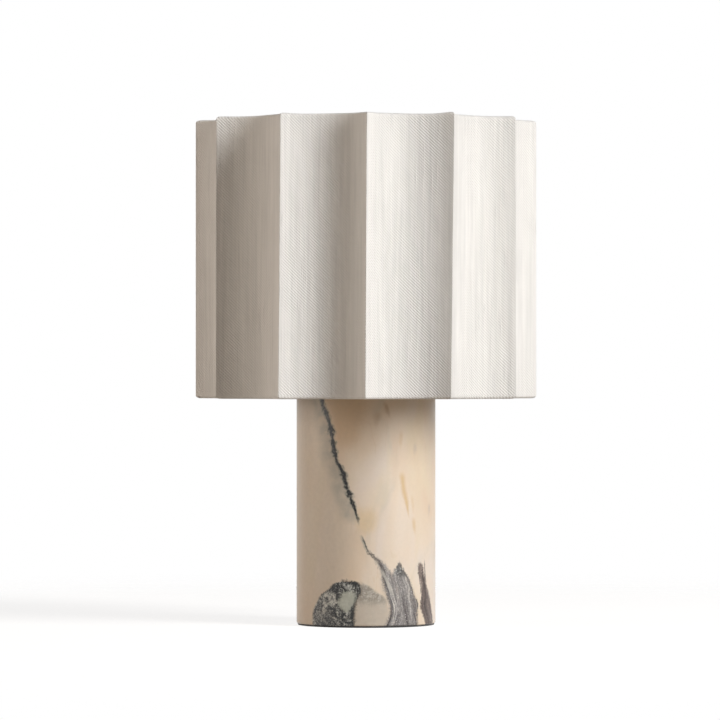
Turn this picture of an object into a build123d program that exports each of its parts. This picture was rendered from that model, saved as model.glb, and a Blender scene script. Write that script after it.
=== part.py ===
from build123d import *
from math import cos, radians, sin, sqrt, tan
import os

# Column table lamp, in millimetres. +Z is up, the origin is the centre of the felt's underside,
# -Y is the front, where the switch knob is, and +Y is the back, where the cord enters.

# Driving sizes of the shade
shade_radius = 152.5  # lamp axis to the outside of a ridge
shade_height = 248.0
panel_count = 12
panel_curve_radius = 56.0  # hollow curve of each panel, on its outside
fabric_thickness = 0.8
liner_thickness = 0.6
ring_wire_radius = 1.6
hem_radius = 2.4
hem_fold = 8.0
first_ridge_angle = -90.0

# Driving sizes of the column
column_radius = 62.0
column_height = 230.0
column_edge = 0.8
felt_thickness = 1.5
felt_radius = 61.0
recess_radius = 42.0
recess_height = 26.0
cover_radius = 46.0
cover_thickness = 2.0
cord_hole_height = 14.0

# Driving sizes of the stem, which carries the lamp holder
tube_radius = 4.9
tube_bore_radius = 3.45
tube_bottom = 12.0
tube_hole_radius = 5.5
seat_disc_radius = 22.5
seat_disc_thickness = 3.0
neck_radius = 8.0
neck_height = 11.5

# Driving sizes of the harp and its sleeves
harp_wire_radius = 1.6
harp_foot_x = 25.75
harp_side_x = 48.0
harp_arch_radius = 34.0
sleeve_bore_radius = 1.7
sleeve_radius = 2.6
sleeve_height = 16.0

# Driving sizes of the lamp holder and the bulb
shell_radius = 16.8
shell_wall = 0.8
screw_shell_bore_radius = 13.45
bulb_cap_radius = 13.0
bulb_radius = 30.0
fit_gap = 0.05  # radial clearance where one piece turns or slides in another
clear_gap = 0.1  # clearance between fixed pieces

# Levels worked out from the sizes above
column_bottom = felt_thickness
column_top = column_bottom + column_height
recess_top = column_bottom + recess_height
disc_top = column_top + seat_disc_thickness
neck_top = disc_top + neck_height
saddle_thickness = 1.5
saddle_width = 14.0
cap_bottom = neck_top + saddle_thickness
shell_bottom = cap_bottom + 11.5
shell_top = shell_bottom + 46.0
contact_level = cap_bottom + 34.5
shade_bottom = 202.0
shade_top = shade_bottom + shade_height
ring_top_level = shade_top - hem_radius
ring_bottom_level = shade_bottom + hem_radius
hub_bottom = 424.0
hub_thickness = 2.0
plate_top = hub_bottom - 1.6
plate_thickness = 2.0
thread_radius = 3.1

# Panel geometry: each panel is part of a ring about an upright line outside the shade
half_panel = 180.0 / panel_count
half_chord = shade_radius * sin(radians(half_panel))
panel_axis = shade_radius * cos(radians(half_panel)) + sqrt(panel_curve_radius**2 - half_chord**2)
ring_depth = panel_curve_radius + hem_radius
valley_ring_radius = panel_axis - ring_depth

arm_angles = {
    "spider_arm_front": first_ridge_angle + half_panel,
    "spider_arm_right": first_ridge_angle + half_panel + 120.0,
    "spider_arm_left": first_ridge_angle + half_panel + 240.0,
}


# ---- helpers ----


def disc(radius, z0, z1):
    """A solid cylinder on the lamp axis between two levels."""
    base = (Align.CENTER, Align.CENTER, Align.MIN)
    return Pos(0, 0, z0) * Cylinder(radius, z1 - z0, align=base)


def ring(outer, inner, z0, z1):
    """A cylinder with a round bore, on the lamp axis between two levels."""
    margin = 1.0
    return disc(outer, z0, z1) - disc(inner, z0 - margin, z1 + margin)


def turned(points):
    """A solid turned about the lamp axis from (radius, level) points."""
    profile = make_face(Polyline(*[(r, 0, z) for r, z in points], close=True))
    return revolve(profile, Axis.Z)


def round_bar(points, radii, bar_radius):
    """A round bar along straight runs joined by arcs."""
    path = FilletPolyline(*points, radius=radii)
    start = Plane(origin=path @ 0, z_dir=path % 0)
    return sweep(start * Circle(bar_radius), path=path)


def one_solid(shape):
    """The shape as a single solid."""
    return shape.solids()[0]


# ---- shade ----


def wedge(z0, z1):
    """The slice of space that one panel fills, about the +X axis."""
    reach = shade_radius + 20.0
    side = reach * tan(radians(half_panel))
    corners = Polyline((0, 0), (reach, -side), (reach, side), close=True)
    return Pos(0, 0, z0) * extrude(make_face(corners), z1 - z0)


def panel_revolve(section):
    """Sweeps a section round a panel's upright line and trims it to one wedge.

    The section lies in the XZ plane with its first number measured from the panel's line.
    """
    spread = 50.0
    turn = revolve(section, Axis.Z, revolution_arc=2 * spread)
    placed = Pos(panel_axis, 0, 0) * Rot(0, 0, 180.0 - spread) * turn
    margin = 5.0
    return placed & wedge(shade_bottom - margin, shade_top + margin)


def all_round(panel):
    """Copies one panel round the lamp axis and joins the copies."""
    step = 360.0 / panel_count
    turns = [first_ridge_angle + half_panel + step * i for i in range(panel_count)]
    whole = Rot(0, 0, turns[0]) * panel
    return whole + [Rot(0, 0, a) * panel for a in turns[1:]]


def fabric_section():
    """The cloth in section: outer face, both rolled hems and the folds that lie on the liner."""
    outer = panel_curve_radius
    inner = outer + fabric_thickness
    back = inner + liner_thickness
    lip = ring_depth + hem_radius
    low, high = ring_bottom_level, ring_top_level
    fold_low = low + hem_radius + hem_fold
    fold_high = high - hem_radius - hem_fold
    edge = (
        Line((outer, 0, low), (outer, 0, high))
        + ThreePointArc((outer, 0, high), (ring_depth, 0, shade_top), (lip, 0, high))
        + Line((lip, 0, high), (back, 0, fold_high))
        + Line((back, 0, fold_high), (inner, 0, fold_high))
        + Line((inner, 0, fold_high), (inner, 0, fold_low))
        + Line((inner, 0, fold_low), (back, 0, fold_low))
        + Line((back, 0, fold_low), (lip, 0, low))
        + ThreePointArc((lip, 0, low), (ring_depth, 0, shade_bottom), (outer, 0, low))
    )
    return make_face(edge)


def liner_section():
    """The stiff lining in section, which ends just short of both rings."""
    inner = panel_curve_radius + fabric_thickness
    back = inner + liner_thickness
    low = ring_bottom_level + ring_wire_radius + 0.2
    high = ring_top_level - ring_wire_radius - 0.2
    corners = [(inner, 0, low), (back, 0, low), (back, 0, high), (inner, 0, high)]
    return make_face(Polyline(*corners, close=True))


def ring_section(level):
    """One frame ring's wire in section."""
    return Plane.XZ * Pos(ring_depth, level) * Circle(ring_wire_radius)


def shade_ring(level):
    """A wire ring bent to the same twelve curves as the cloth."""
    return all_round(panel_revolve(ring_section(level)))


def shade_liner():
    """The stiff lining that the cloth is laminated to."""
    return all_round(panel_revolve(liner_section()))


def shade_fabric(top_ring, bottom_ring, liner, arms):
    """The cloth, wrapped over both rings, with a slot for each spider arm."""
    cloth = all_round(panel_revolve(fabric_section()))
    return cloth - top_ring - bottom_ring - liner - arms


def spider_hub():
    """The washer that sits on the harp's stud."""
    return ring(15.0, thread_radius + 0.4, hub_bottom, hub_bottom + hub_thickness)


def spider_arm(angle, hub, top_ring, bar_radius=1.5):
    """An arm from the hub out to the hollow of a panel, cranked up to the top ring."""
    low = hub_bottom + hub_thickness / 2
    reach = valley_ring_radius
    points = [(12.5, 0, low), (88, 0, low), (110, 0, ring_top_level), (reach, 0, ring_top_level)]
    arm = round_bar(points, [14.0, 14.0], bar_radius)
    return Rot(0, 0, angle) * arm - hub - top_ring


# ---- column and base ----


def marble_column():
    """The turned column, bored for the stem, hollowed underneath and drilled for the cord."""
    body = disc(column_radius, column_bottom, column_top)
    body = chamfer(body.edges().filter_by(GeomType.CIRCLE), column_edge)
    body -= disc(tube_hole_radius, column_bottom, column_top)
    body -= disc(recess_radius, column_bottom, recess_top)
    body -= disc(cover_radius + clear_gap, column_bottom, column_bottom + cover_thickness)
    return body - cord_hole(5.1, 0, column_radius + 1) - cord_hole(7.1, 60.2, column_radius + 1)


def cord_hole(radius, y0, y1):
    """A round bar towards the back at the cord's level, used to cut holes and make the bushing."""
    base = (Align.CENTER, Align.CENTER, Align.MIN)
    bar = Rot(-90, 0, 0) * Cylinder(radius, y1 - y0, align=base)
    return Pos(0, y0, cord_hole_height) * bar


def base_felt():
    """The pad that the lamp stands on."""
    return disc(felt_radius, 0, felt_thickness)


def base_cover():
    """The plate that closes the hollow under the column."""
    return disc(cover_radius, column_bottom, column_bottom + cover_thickness)


def cord_bushing():
    """The flanged bush in the back of the column that the cord passes through."""
    flange = cord_hole(6.9, 60.3, column_radius + 0.8)
    flange = fillet(flange.edges().sort_by(Axis.Y)[-1], 0.7)
    return flange + cord_hole(5.0, 39.0, 61.0) - cord_hole(3.25, 38.0, column_radius + 2)


def lamp_tube():
    """The threaded tube that clamps the column between the bottom nut and the lamp holder."""
    return ring(tube_radius, tube_bore_radius, tube_bottom, cap_bottom + 7.5)


def bottom_washer():
    """The wide washer under the column."""
    return ring(20.0, tube_radius + 0.2, recess_top - 2.5, recess_top)


def lock_washer():
    """The split spring washer above the nut."""
    top = recess_top - 2.5
    whole = ring(8.5, tube_radius + 0.2, top - 1.6, top)
    return whole - Pos(7, 0, top - 0.8) * Box(6, 1.2, 4)


def bottom_nut():
    """The hexagon nut on the tube."""
    top = recess_top - 2.5 - 1.6
    hexagon = RegularPolygon(7.0, 6, major_radius=False)
    nut = Pos(0, 0, top - 6.0) * extrude(hexagon, 6.0)
    return nut & turned([(0, top - 6), (7.3, top - 6), (8.1, top - 5.2), (8.1, top), (0, top)]) - disc(
        tube_radius + clear_gap, top - 8, top + 1
    )


block_y = 26.0
block_size = (26.0, 12.0, 11.0)
block_way_x = 6.0


def terminal_block():
    """The two-way block on the cover, with a through hole and a screw well for each way."""
    x, y, z = block_size
    base = column_bottom + cover_thickness
    block = Pos(0, block_y, base + z / 2) * Box(x, y, z)
    block = chamfer(block.edges().filter_by(Axis.Z), 1.0)
    for side in (-1, 1):
        way = Pos(side * block_way_x, block_y, base + 5.0) * Rot(90, 0, 0) * Cylinder(1.7, y + 2)
        well = Pos(side * block_way_x, block_y, base + 9.0) * Cylinder(1.6, 6.0)
        block = block - way - well
    return block


def block_screws():
    """The two clamp screws of the terminal block, each with its driver slot."""
    top = column_bottom + cover_thickness + block_size[2] - 0.6
    screws = []
    for side in (-1, 1):
        place = Pos(side * block_way_x, block_y, top - 2.0)
        screws.append(place * (Cylinder(1.5, 4.0) - Pos(0, 0, 1.8) * Box(4, 0.6, 1.2)))
    return Compound(children=screws)


def lead(side):
    """One insulated lead from the terminal block up the tube to its screw in the lamp holder."""
    way_z = column_bottom + cover_thickness + 5.0
    end_z = contact_level - 18.95
    face_y = block_y - block_size[1] / 2
    points = [
        (side * block_way_x, face_y, way_z),
        (side * block_way_x, 9.0, way_z),
        (side * 1.45, 0, tube_bottom - 4.0),
        (side * 1.45, 0, cap_bottom + 9.5),
        (side * 9.6, 0, cap_bottom + 12.0),
        (side * 9.6, 0, end_z),
    ]
    return round_bar(points, [8.0, 3.3, 2.0, 2.0], 1.2)


# ---- stem and harp ----


def seat_disc():
    """The turned disc on top of the column."""
    plate = ring(seat_disc_radius, tube_radius + 0.2, column_top, disc_top)
    return chamfer(plate.edges().group_by(Axis.Z)[-1].sort_by(SortBy.LENGTH)[-1], 0.8)


def neck():
    """The short turned neck between the disc and the saddle."""
    top = neck_top
    waist = neck_radius - 1.5
    outline = [
        (tube_radius + 0.1, disc_top),
        (neck_radius, disc_top),
        (neck_radius, disc_top + 2.5),
        (waist, disc_top + 4.0),
        (waist, top - 4.0),
        (neck_radius, top - 2.5),
        (neck_radius, top),
        (tube_radius + 0.1, top),
    ]
    return turned(outline)


def harp_saddle():
    """The strip under the lamp holder, turned up at both ends into posts for the harp."""
    post_bottom = cap_bottom + 10.5
    level = neck_top + saddle_thickness / 2
    left, right = -harp_foot_x, harp_foot_x
    corners = [(left, 0, post_bottom), (left, 0, level), (right, 0, level), (right, 0, post_bottom)]
    bent = FilletPolyline(*corners, radius=4.0)
    start = Plane(origin=bent @ 0, z_dir=bent % 0, x_dir=(0, 1, 0))
    strip = sweep(start * Rectangle(saddle_width, saddle_thickness), path=bent)
    strip -= disc(tube_radius + clear_gap, neck_top - 1, cap_bottom + 1)
    for side in (-1, 1):
        post = disc(harp_wire_radius, post_bottom - 2.0, post_bottom + 8.0)
        strip += Pos(side * harp_foot_x, 0, 0) * post
    return strip


post_top = cap_bottom + 18.5


def harp_wire():
    """The two bent halves of the harp, from the saddle's posts to the top plate."""
    top = plate_top - harp_wire_radius
    side_points = [
        (harp_foot_x, 0, post_top),
        (harp_foot_x, 0, post_top + 38.0),
        (harp_side_x, 0, post_top + 76.0),
        (harp_side_x, 0, top),
        (7.0, 0, top),
    ]
    right = round_bar(side_points, [24.0, 40.0, harp_arch_radius], harp_wire_radius)
    return Compound(children=[one_solid(right), one_solid(mirror(right, about=Plane.YZ))])


def harp_top_plate():
    """The drilled plate that joins the harp's two halves and carries the stud."""
    plate = Pos(0, 0, plate_top - plate_thickness / 2) * Box(14.0, 9.0, plate_thickness)
    plate = chamfer(plate.edges().filter_by(Axis.Z), 1.0)
    return plate - disc(2.5 + fit_gap, plate_top - 5, plate_top + 1)


def harp_sleeve(side):
    """The brass sleeve that locks one leg of the harp to the saddle."""
    low = cap_bottom + 10.6
    sleeve = ring(sleeve_radius, sleeve_bore_radius, low, low + sleeve_height)
    return Pos(side * harp_foot_x, 0, 0) * sleeve


def harp_stud():
    """The swivelling stud: rivet head below the plate, neck, flange and threaded end."""
    low = plate_top - plate_thickness
    flange = plate_top + 0.1
    outline = [
        (0, low - 1.3),
        (3.2, low - 1.3),
        (4.0, low - 0.6),
        (4.0, low - 0.1),
        (2.5, low - 0.1),
        (2.5, flange),
        (7.5, flange),
        (7.5, hub_bottom),
        (thread_radius, hub_bottom),
        (thread_radius, hub_bottom + 12.4),
        (thread_radius - 0.6, hub_bottom + 13.0),
        (0, hub_bottom + 13.0),
    ]
    return turned(outline)


# ---- lamp holder ----


def socket_cap():
    """The lower cup of the lamp holder, threaded onto the tube."""
    low, rim = cap_bottom, shell_bottom
    outer = shell_radius + clear_gap + shell_wall
    bore = tube_radius + clear_gap
    outline = [
        (bore, low),
        (7.5, low),
        (7.5, low + 4.0),
        (outer - 3.0, rim - 3.5),
        (outer, rim),
        (outer, rim + 6.0),
        (outer - shell_wall, rim + 6.0),
        (outer - shell_wall, rim + 0.3),
        (outer - 3.6, rim - 2.6),
        (bore + 1.6, low + 6.5),
        (bore, low + 6.5),
    ]
    return turned(outline)


def socket_shell(shaft_hole):
    """The brass sleeve of the lamp holder, with a beaded mouth and a hole for the switch shaft."""
    low, top = shell_bottom + 0.5, shell_top
    inner = shell_radius - shell_wall
    outline = [
        (inner, low),
        (shell_radius, low),
        (shell_radius, top - 3.0),
        (shell_radius + 0.5, top - 2.2),
        (shell_radius + 0.5, top - 0.8),
        (shell_radius - 0.1, top),
        (inner, top),
    ]
    return turned(outline) - shaft_hole


def socket_liner(shaft_hole):
    """The insulating sleeve inside the shell."""
    outer = shell_radius - shell_wall - clear_gap
    return ring(outer, outer - 0.7, shell_bottom + 1.0, shell_top - 2.0) - shaft_hole


core_low = contact_level - 18.0
core_radius = 15.0


def socket_core(shaft_bore, screws):
    """The moulded core: a narrow lower block with the terminals and a round table above it."""
    lower = Pos(0, 0, core_low + 4.5) * Box(16.0, 20.0, 9.0)
    lower = chamfer(lower.edges().filter_by(Axis.Z), 1.5)
    upper = disc(core_radius, core_low + 9.0, contact_level - 2.5)
    return lower + upper - shaft_bore - screws


def terminal_screw(side):
    """A terminal screw in the side of the core, slotted across its head."""
    axis_z = contact_level - 15.5
    head = Pos(side * 9.05, 0, axis_z) * Rot(0, 90, 0) * Cylinder(3.2, 2.0)
    shank = Pos(side * 5.6, 0, axis_z) * Rot(0, 90, 0) * Cylinder(1.7, 5.0)
    slot = Pos(side * 10.0, 0, axis_z) * Box(1.2, 7.0, 0.9)
    return head + shank - slot


def screw_shell():
    """The thin cup that the bulb's cap screws into."""
    outer = screw_shell_bore_radius + 0.45
    floor = contact_level - 2.5
    outline = [
        (6.5, floor),
        (outer, floor),
        (outer, shell_top - 2.5),
        (screw_shell_bore_radius, shell_top - 2.5),
        (screw_shell_bore_radius, floor + 0.5),
        (6.5, floor + 0.5),
    ]
    return turned(outline)


def centre_contact():
    """The raised contact under the bulb's tip."""
    floor = contact_level - 2.5
    outline = [(0, floor), (5.0, floor), (5.0, floor + 0.8), (3.0, contact_level), (0, contact_level)]
    return turned(outline)


switch_z = contact_level - 6.0
shaft_radius = 1.6
shaft_inner_y = -6.0
shaft_outer_y = -28.0


def shaft_bar(radius, y0, y1):
    """A round bar along Y at the switch's level."""
    middle = (y0 + y1) / 2
    return Pos(0, middle, switch_z) * Rot(90, 0, 0) * Cylinder(radius, abs(y1 - y0))


def switch_shaft():
    """The shaft of the switch, flatted where the knob grips it."""
    bar = shaft_bar(shaft_radius, shaft_inner_y, shaft_outer_y)
    flat = Pos(0, shaft_outer_y + 3.5, switch_z + 1.7) * Box(4.0, 7.0, 1.0)
    return bar - flat


def switch_knob():
    """The fluted knob on the end of the shaft."""
    near, far = shell_radius + 3.4, 31.0
    knob = shaft_bar(5.5, -near, -far)
    knob = fillet(knob.edges().sort_by(Axis.Y)[0], 1.2)
    flutes = 10
    for i in range(flutes):
        turn = radians(360.0 / flutes * i)
        place = Pos(6.3 * cos(turn), -(near + far) / 2, switch_z + 6.3 * sin(turn))
        knob -= place * Rot(90, 0, 0) * Cylinder(1.3, far - near + 2)
    return knob - switch_shaft_socket(near)


def switch_shaft_socket(near):
    """The blind hole in the knob, with the flat that meets the shaft's."""
    hole = shaft_bar(shaft_radius, -near + 1, shaft_outer_y)
    flat = Pos(0, shaft_outer_y + 3.5, switch_z + 1.7) * Box(4.0, 7.0, 1.0)
    return hole - flat


# ---- finial ----


finial_low = hub_bottom + hub_thickness


def finial_washer():
    """The washer that stays with the finial and bears on the hub."""
    return ring(10.0, thread_radius + fit_gap, finial_low, finial_low + 1.2)


def finial():
    """The turned knob that holds the shade down on the stud."""
    low = finial_low + 1.25
    body = turned(
        [
            (0, low),
            (7.6, low),
            (8.0, low + 0.5),
            (8.0, low + 3.0),
            (6.0, low + 4.5),
            (6.0, low + 6.5),
            (8.0, low + 9.0),
            (8.0, low + 13.5),
            (6.2, low + 15.6),
            (0, low + 16.4),
        ]
    )
    return body - disc(thread_radius + fit_gap, low - 1, low + 11.5)


# ---- bulb ----


tip_low = contact_level + 0.1


def bulb_tip():
    """The contact at the end of the bulb's cap."""
    low = tip_low
    outline = [(0, low), (3.0, low), (4.5, low + 0.8), (4.5, low + 1.6), (0, low + 1.6)]
    return turned(outline)


def bulb_insulator():
    """The glassy ring between the bulb's tip and cap."""
    low = tip_low + 1.7
    return turned([(0, low), (5.2, low), (9.4, low + 3.0), (9.4, low + 3.6), (0, low + 3.6)])


def bulb_cap():
    """The bulb's screw cap, a thin cup."""
    low = tip_low + 4.4
    top = low + 19.0
    wall = 0.5
    outline = [
        (9.5, low - 0.6),
        (bulb_cap_radius - 0.6, low + 0.4),
        (bulb_cap_radius, low + 1.6),
        (bulb_cap_radius, top),
        (bulb_cap_radius - wall, top),
        (bulb_cap_radius - wall, low + 1.8),
        (bulb_cap_radius - 1.0, low + 0.9),
        (9.5, low - 0.1),
    ]
    return turned(outline)


housing_low = tip_low + 4.4 + 19.0
housing_top = housing_low + 36.0
bulb_top = housing_top + 43.0


def bulb_housing():
    """The moulded body between the cap and the dome."""
    low, top = housing_low + 0.05, housing_top
    spigot = bulb_cap_radius - 0.6
    outer = (
        Line((spigot, 0, low - 5.0), (spigot, 0, low))
        + Line((spigot, 0, low), (bulb_cap_radius + 0.8, 0, low))
        + Line((bulb_cap_radius + 0.8, 0, low), (bulb_cap_radius + 0.8, 0, low + 4.0))
        + Spline(
            (bulb_cap_radius + 0.8, 0, low + 4.0),
            (bulb_radius, 0, top),
            tangents=[(0.2, 0, 1), (0.15, 0, 1)],
        )
        + Line((bulb_radius, 0, top), (bulb_radius - 1.6, 0, top))
        + Spline(
            (bulb_radius - 1.6, 0, top),
            (spigot - 1.2, 0, low + 3.6),
            tangents=[(-0.15, 0, -1), (-0.2, 0, -1)],
        )
        + Line((spigot - 1.2, 0, low + 3.6), (spigot - 1.2, 0, low - 5.0))
        + Line((spigot - 1.2, 0, low - 5.0), (spigot, 0, low - 5.0))
    )
    return revolve(make_face(outer), Axis.Z)


def bulb_dome():
    """The hollow light-diffusing dome, half round above a straight skirt."""
    low = housing_top + 0.05
    inner = bulb_radius - 1.3
    spring = bulb_top - bulb_radius
    slant = sqrt(0.5)
    outline = (
        Line((inner, 0, low), (bulb_radius, 0, low))
        + Line((bulb_radius, 0, low), (bulb_radius, 0, spring))
        + ThreePointArc(
            (bulb_radius, 0, spring),
            (bulb_radius * slant, 0, spring + bulb_radius * slant),
            (0, 0, spring + bulb_radius),
        )
        + Line((0, 0, spring + bulb_radius), (0, 0, spring + inner))
        + ThreePointArc((0, 0, spring + inner), (inner * slant, 0, spring + inner * slant), (inner, 0, spring))
        + Line((inner, 0, spring), (inner, 0, low))
    )
    return revolve(make_face(outline), Axis.Z)


def bulb_led_board():
    """The round board that carries the emitters, on its rim inside the dome."""
    low = housing_top + 0.3
    board = disc(24.0, low, low + 1.6)
    emitters = []
    for i in range(10):
        turn = radians(36.0 * i)
        place = Pos(15.0 * cos(turn), 15.0 * sin(turn), low + 1.6 + 0.4)
        emitters.append(place * Rot(0, 0, 36.0 * i) * Box(2.8, 2.8, 0.8))
    return board + emitters


def bulb_driver():
    """The upright circuit board in the housing, with its largest components."""
    low = tip_low + 8.0
    top = housing_top + 0.2
    board = Pos(0, 0, (low + top) / 2) * Box(16.0, 1.2, top - low)
    capacitor = Pos(0, 4.4, top - 14.0) * Cylinder(4.0, 14.0)
    coil = Pos(0, -3.1, top - 14.0) * Box(9.0, 5.0, 9.0)
    return board + capacitor + coil


# ---- writing the parts ----


def shade_parts():
    """The shade's pieces, which are cut to one another."""
    top_ring, bottom_ring = shade_ring(ring_top_level), shade_ring(ring_bottom_level)
    hub, liner = spider_hub(), shade_liner()
    arms = {name: spider_arm(angle, hub, top_ring) for name, angle in arm_angles.items()}
    slots = [spider_arm(angle, hub, top_ring, 1.6) for angle in arm_angles.values()]
    return {
        "shade_fabric": shade_fabric(top_ring, bottom_ring, liner, slots),
        "shade_liner": liner,
        "shade_top_ring": top_ring,
        "shade_bottom_ring": bottom_ring,
        "spider_hub": hub,
        **arms,
    }


def holder_parts():
    """The lamp holder's pieces and its switch."""
    hole = shaft_bar(shaft_radius + 0.4, -core_radius - 0.1, -shell_radius - 2)
    bore = shaft_bar(shaft_radius + fit_gap, shaft_inner_y + 0.3, -core_radius - 1)
    screws = {"terminal_screw_live": terminal_screw(1), "terminal_screw_neutral": terminal_screw(-1)}
    return {
        "socket_cap": socket_cap(),
        "socket_shell": socket_shell(hole),
        "socket_liner": socket_liner(hole),
        "socket_core": socket_core(bore, list(screws.values())),
        "screw_shell": screw_shell(),
        "centre_contact": centre_contact(),
        "switch_shaft": switch_shaft(),
        "switch_knob": switch_knob(),
        **screws,
    }


def base_parts():
    """The column, what closes its foot and the wiring inside."""
    return {
        "marble_column": marble_column(),
        "base_felt": base_felt(),
        "base_cover": base_cover(),
        "cord_bushing": cord_bushing(),
        "lamp_tube": lamp_tube(),
        "bottom_washer": bottom_washer(),
        "lock_washer": lock_washer(),
        "bottom_nut": bottom_nut(),
        "terminal_block": terminal_block(),
        "block_screws": block_screws(),
        "lead_live": lead(1),
        "lead_neutral": lead(-1),
    }


def support_parts():
    """The stem's top, the harp and the finial."""
    return {
        "seat_disc": seat_disc(),
        "neck": neck(),
        "harp_saddle": harp_saddle(),
        "harp_wire": harp_wire(),
        "harp_top_plate": harp_top_plate(),
        "harp_sleeve_left": harp_sleeve(-1),
        "harp_sleeve_right": harp_sleeve(1),
        "harp_stud": harp_stud(),
        "finial_washer": finial_washer(),
        "finial": finial(),
    }


def bulb_parts():
    """The bulb, from its tip up."""
    return {
        "bulb_tip": bulb_tip(),
        "bulb_insulator": bulb_insulator(),
        "bulb_cap": bulb_cap(),
        "bulb_housing": bulb_housing(),
        "bulb_driver": bulb_driver(),
        "bulb_led_board": bulb_led_board(),
        "bulb_dome": bulb_dome(),
    }


os.makedirs("parts", exist_ok=True)
groups = [base_parts(), support_parts(), holder_parts(), shade_parts(), bulb_parts()]
for group in groups:
    for node, shape in group.items():
        export_step(shape, f"parts/{node}.step")
        print(node, len(shape.solids()), round(shape.volume))
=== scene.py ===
"""A column table lamp: a cloth shade on a marble column, with stem, harp, lamp holder and bulb inside.

Sizes are in millimetres, and are scaled to metres where meshes are made. +Z is up, -Y is the front, and
the origin is under the middle of the felt.
"""

import logging
import math
from abc import ABC, abstractmethod
from collections.abc import Callable, Sequence
from dataclasses import dataclass, field
from enum import Enum

import bmesh
import bpy
from mathutils import Euler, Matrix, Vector, noise


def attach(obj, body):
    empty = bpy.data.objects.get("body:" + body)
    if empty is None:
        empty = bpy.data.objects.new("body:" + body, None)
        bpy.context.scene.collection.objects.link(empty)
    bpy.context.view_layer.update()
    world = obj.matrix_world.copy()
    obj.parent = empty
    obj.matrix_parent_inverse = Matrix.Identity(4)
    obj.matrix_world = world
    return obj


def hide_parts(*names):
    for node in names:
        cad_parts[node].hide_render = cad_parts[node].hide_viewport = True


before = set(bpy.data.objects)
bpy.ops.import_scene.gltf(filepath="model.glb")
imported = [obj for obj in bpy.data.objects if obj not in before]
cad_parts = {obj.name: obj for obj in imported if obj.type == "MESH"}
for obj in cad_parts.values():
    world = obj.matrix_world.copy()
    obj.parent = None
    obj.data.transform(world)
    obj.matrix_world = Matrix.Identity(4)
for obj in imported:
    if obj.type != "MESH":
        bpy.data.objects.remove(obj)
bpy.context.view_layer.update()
log = logging.getLogger("lamp")

SCALE = 0.001
FULL_TURN = 2 * math.pi
CLOTH_MAP = 1060.0  # millimetres of cloth along one side of its map
Socket = bpy.types.NodeSocket
Point2 = tuple[float, float]
Colour = tuple[float, float, float]


class Body(Enum):
    """The bodies that the pieces ride on."""

    LAMP = "lamp_body"
    SHADE = "shade"
    STUD = "stud"
    FINIAL = "finial_knob"
    BULB = "bulb"


# ======================================================================================
# Shader boards
# ======================================================================================


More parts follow.
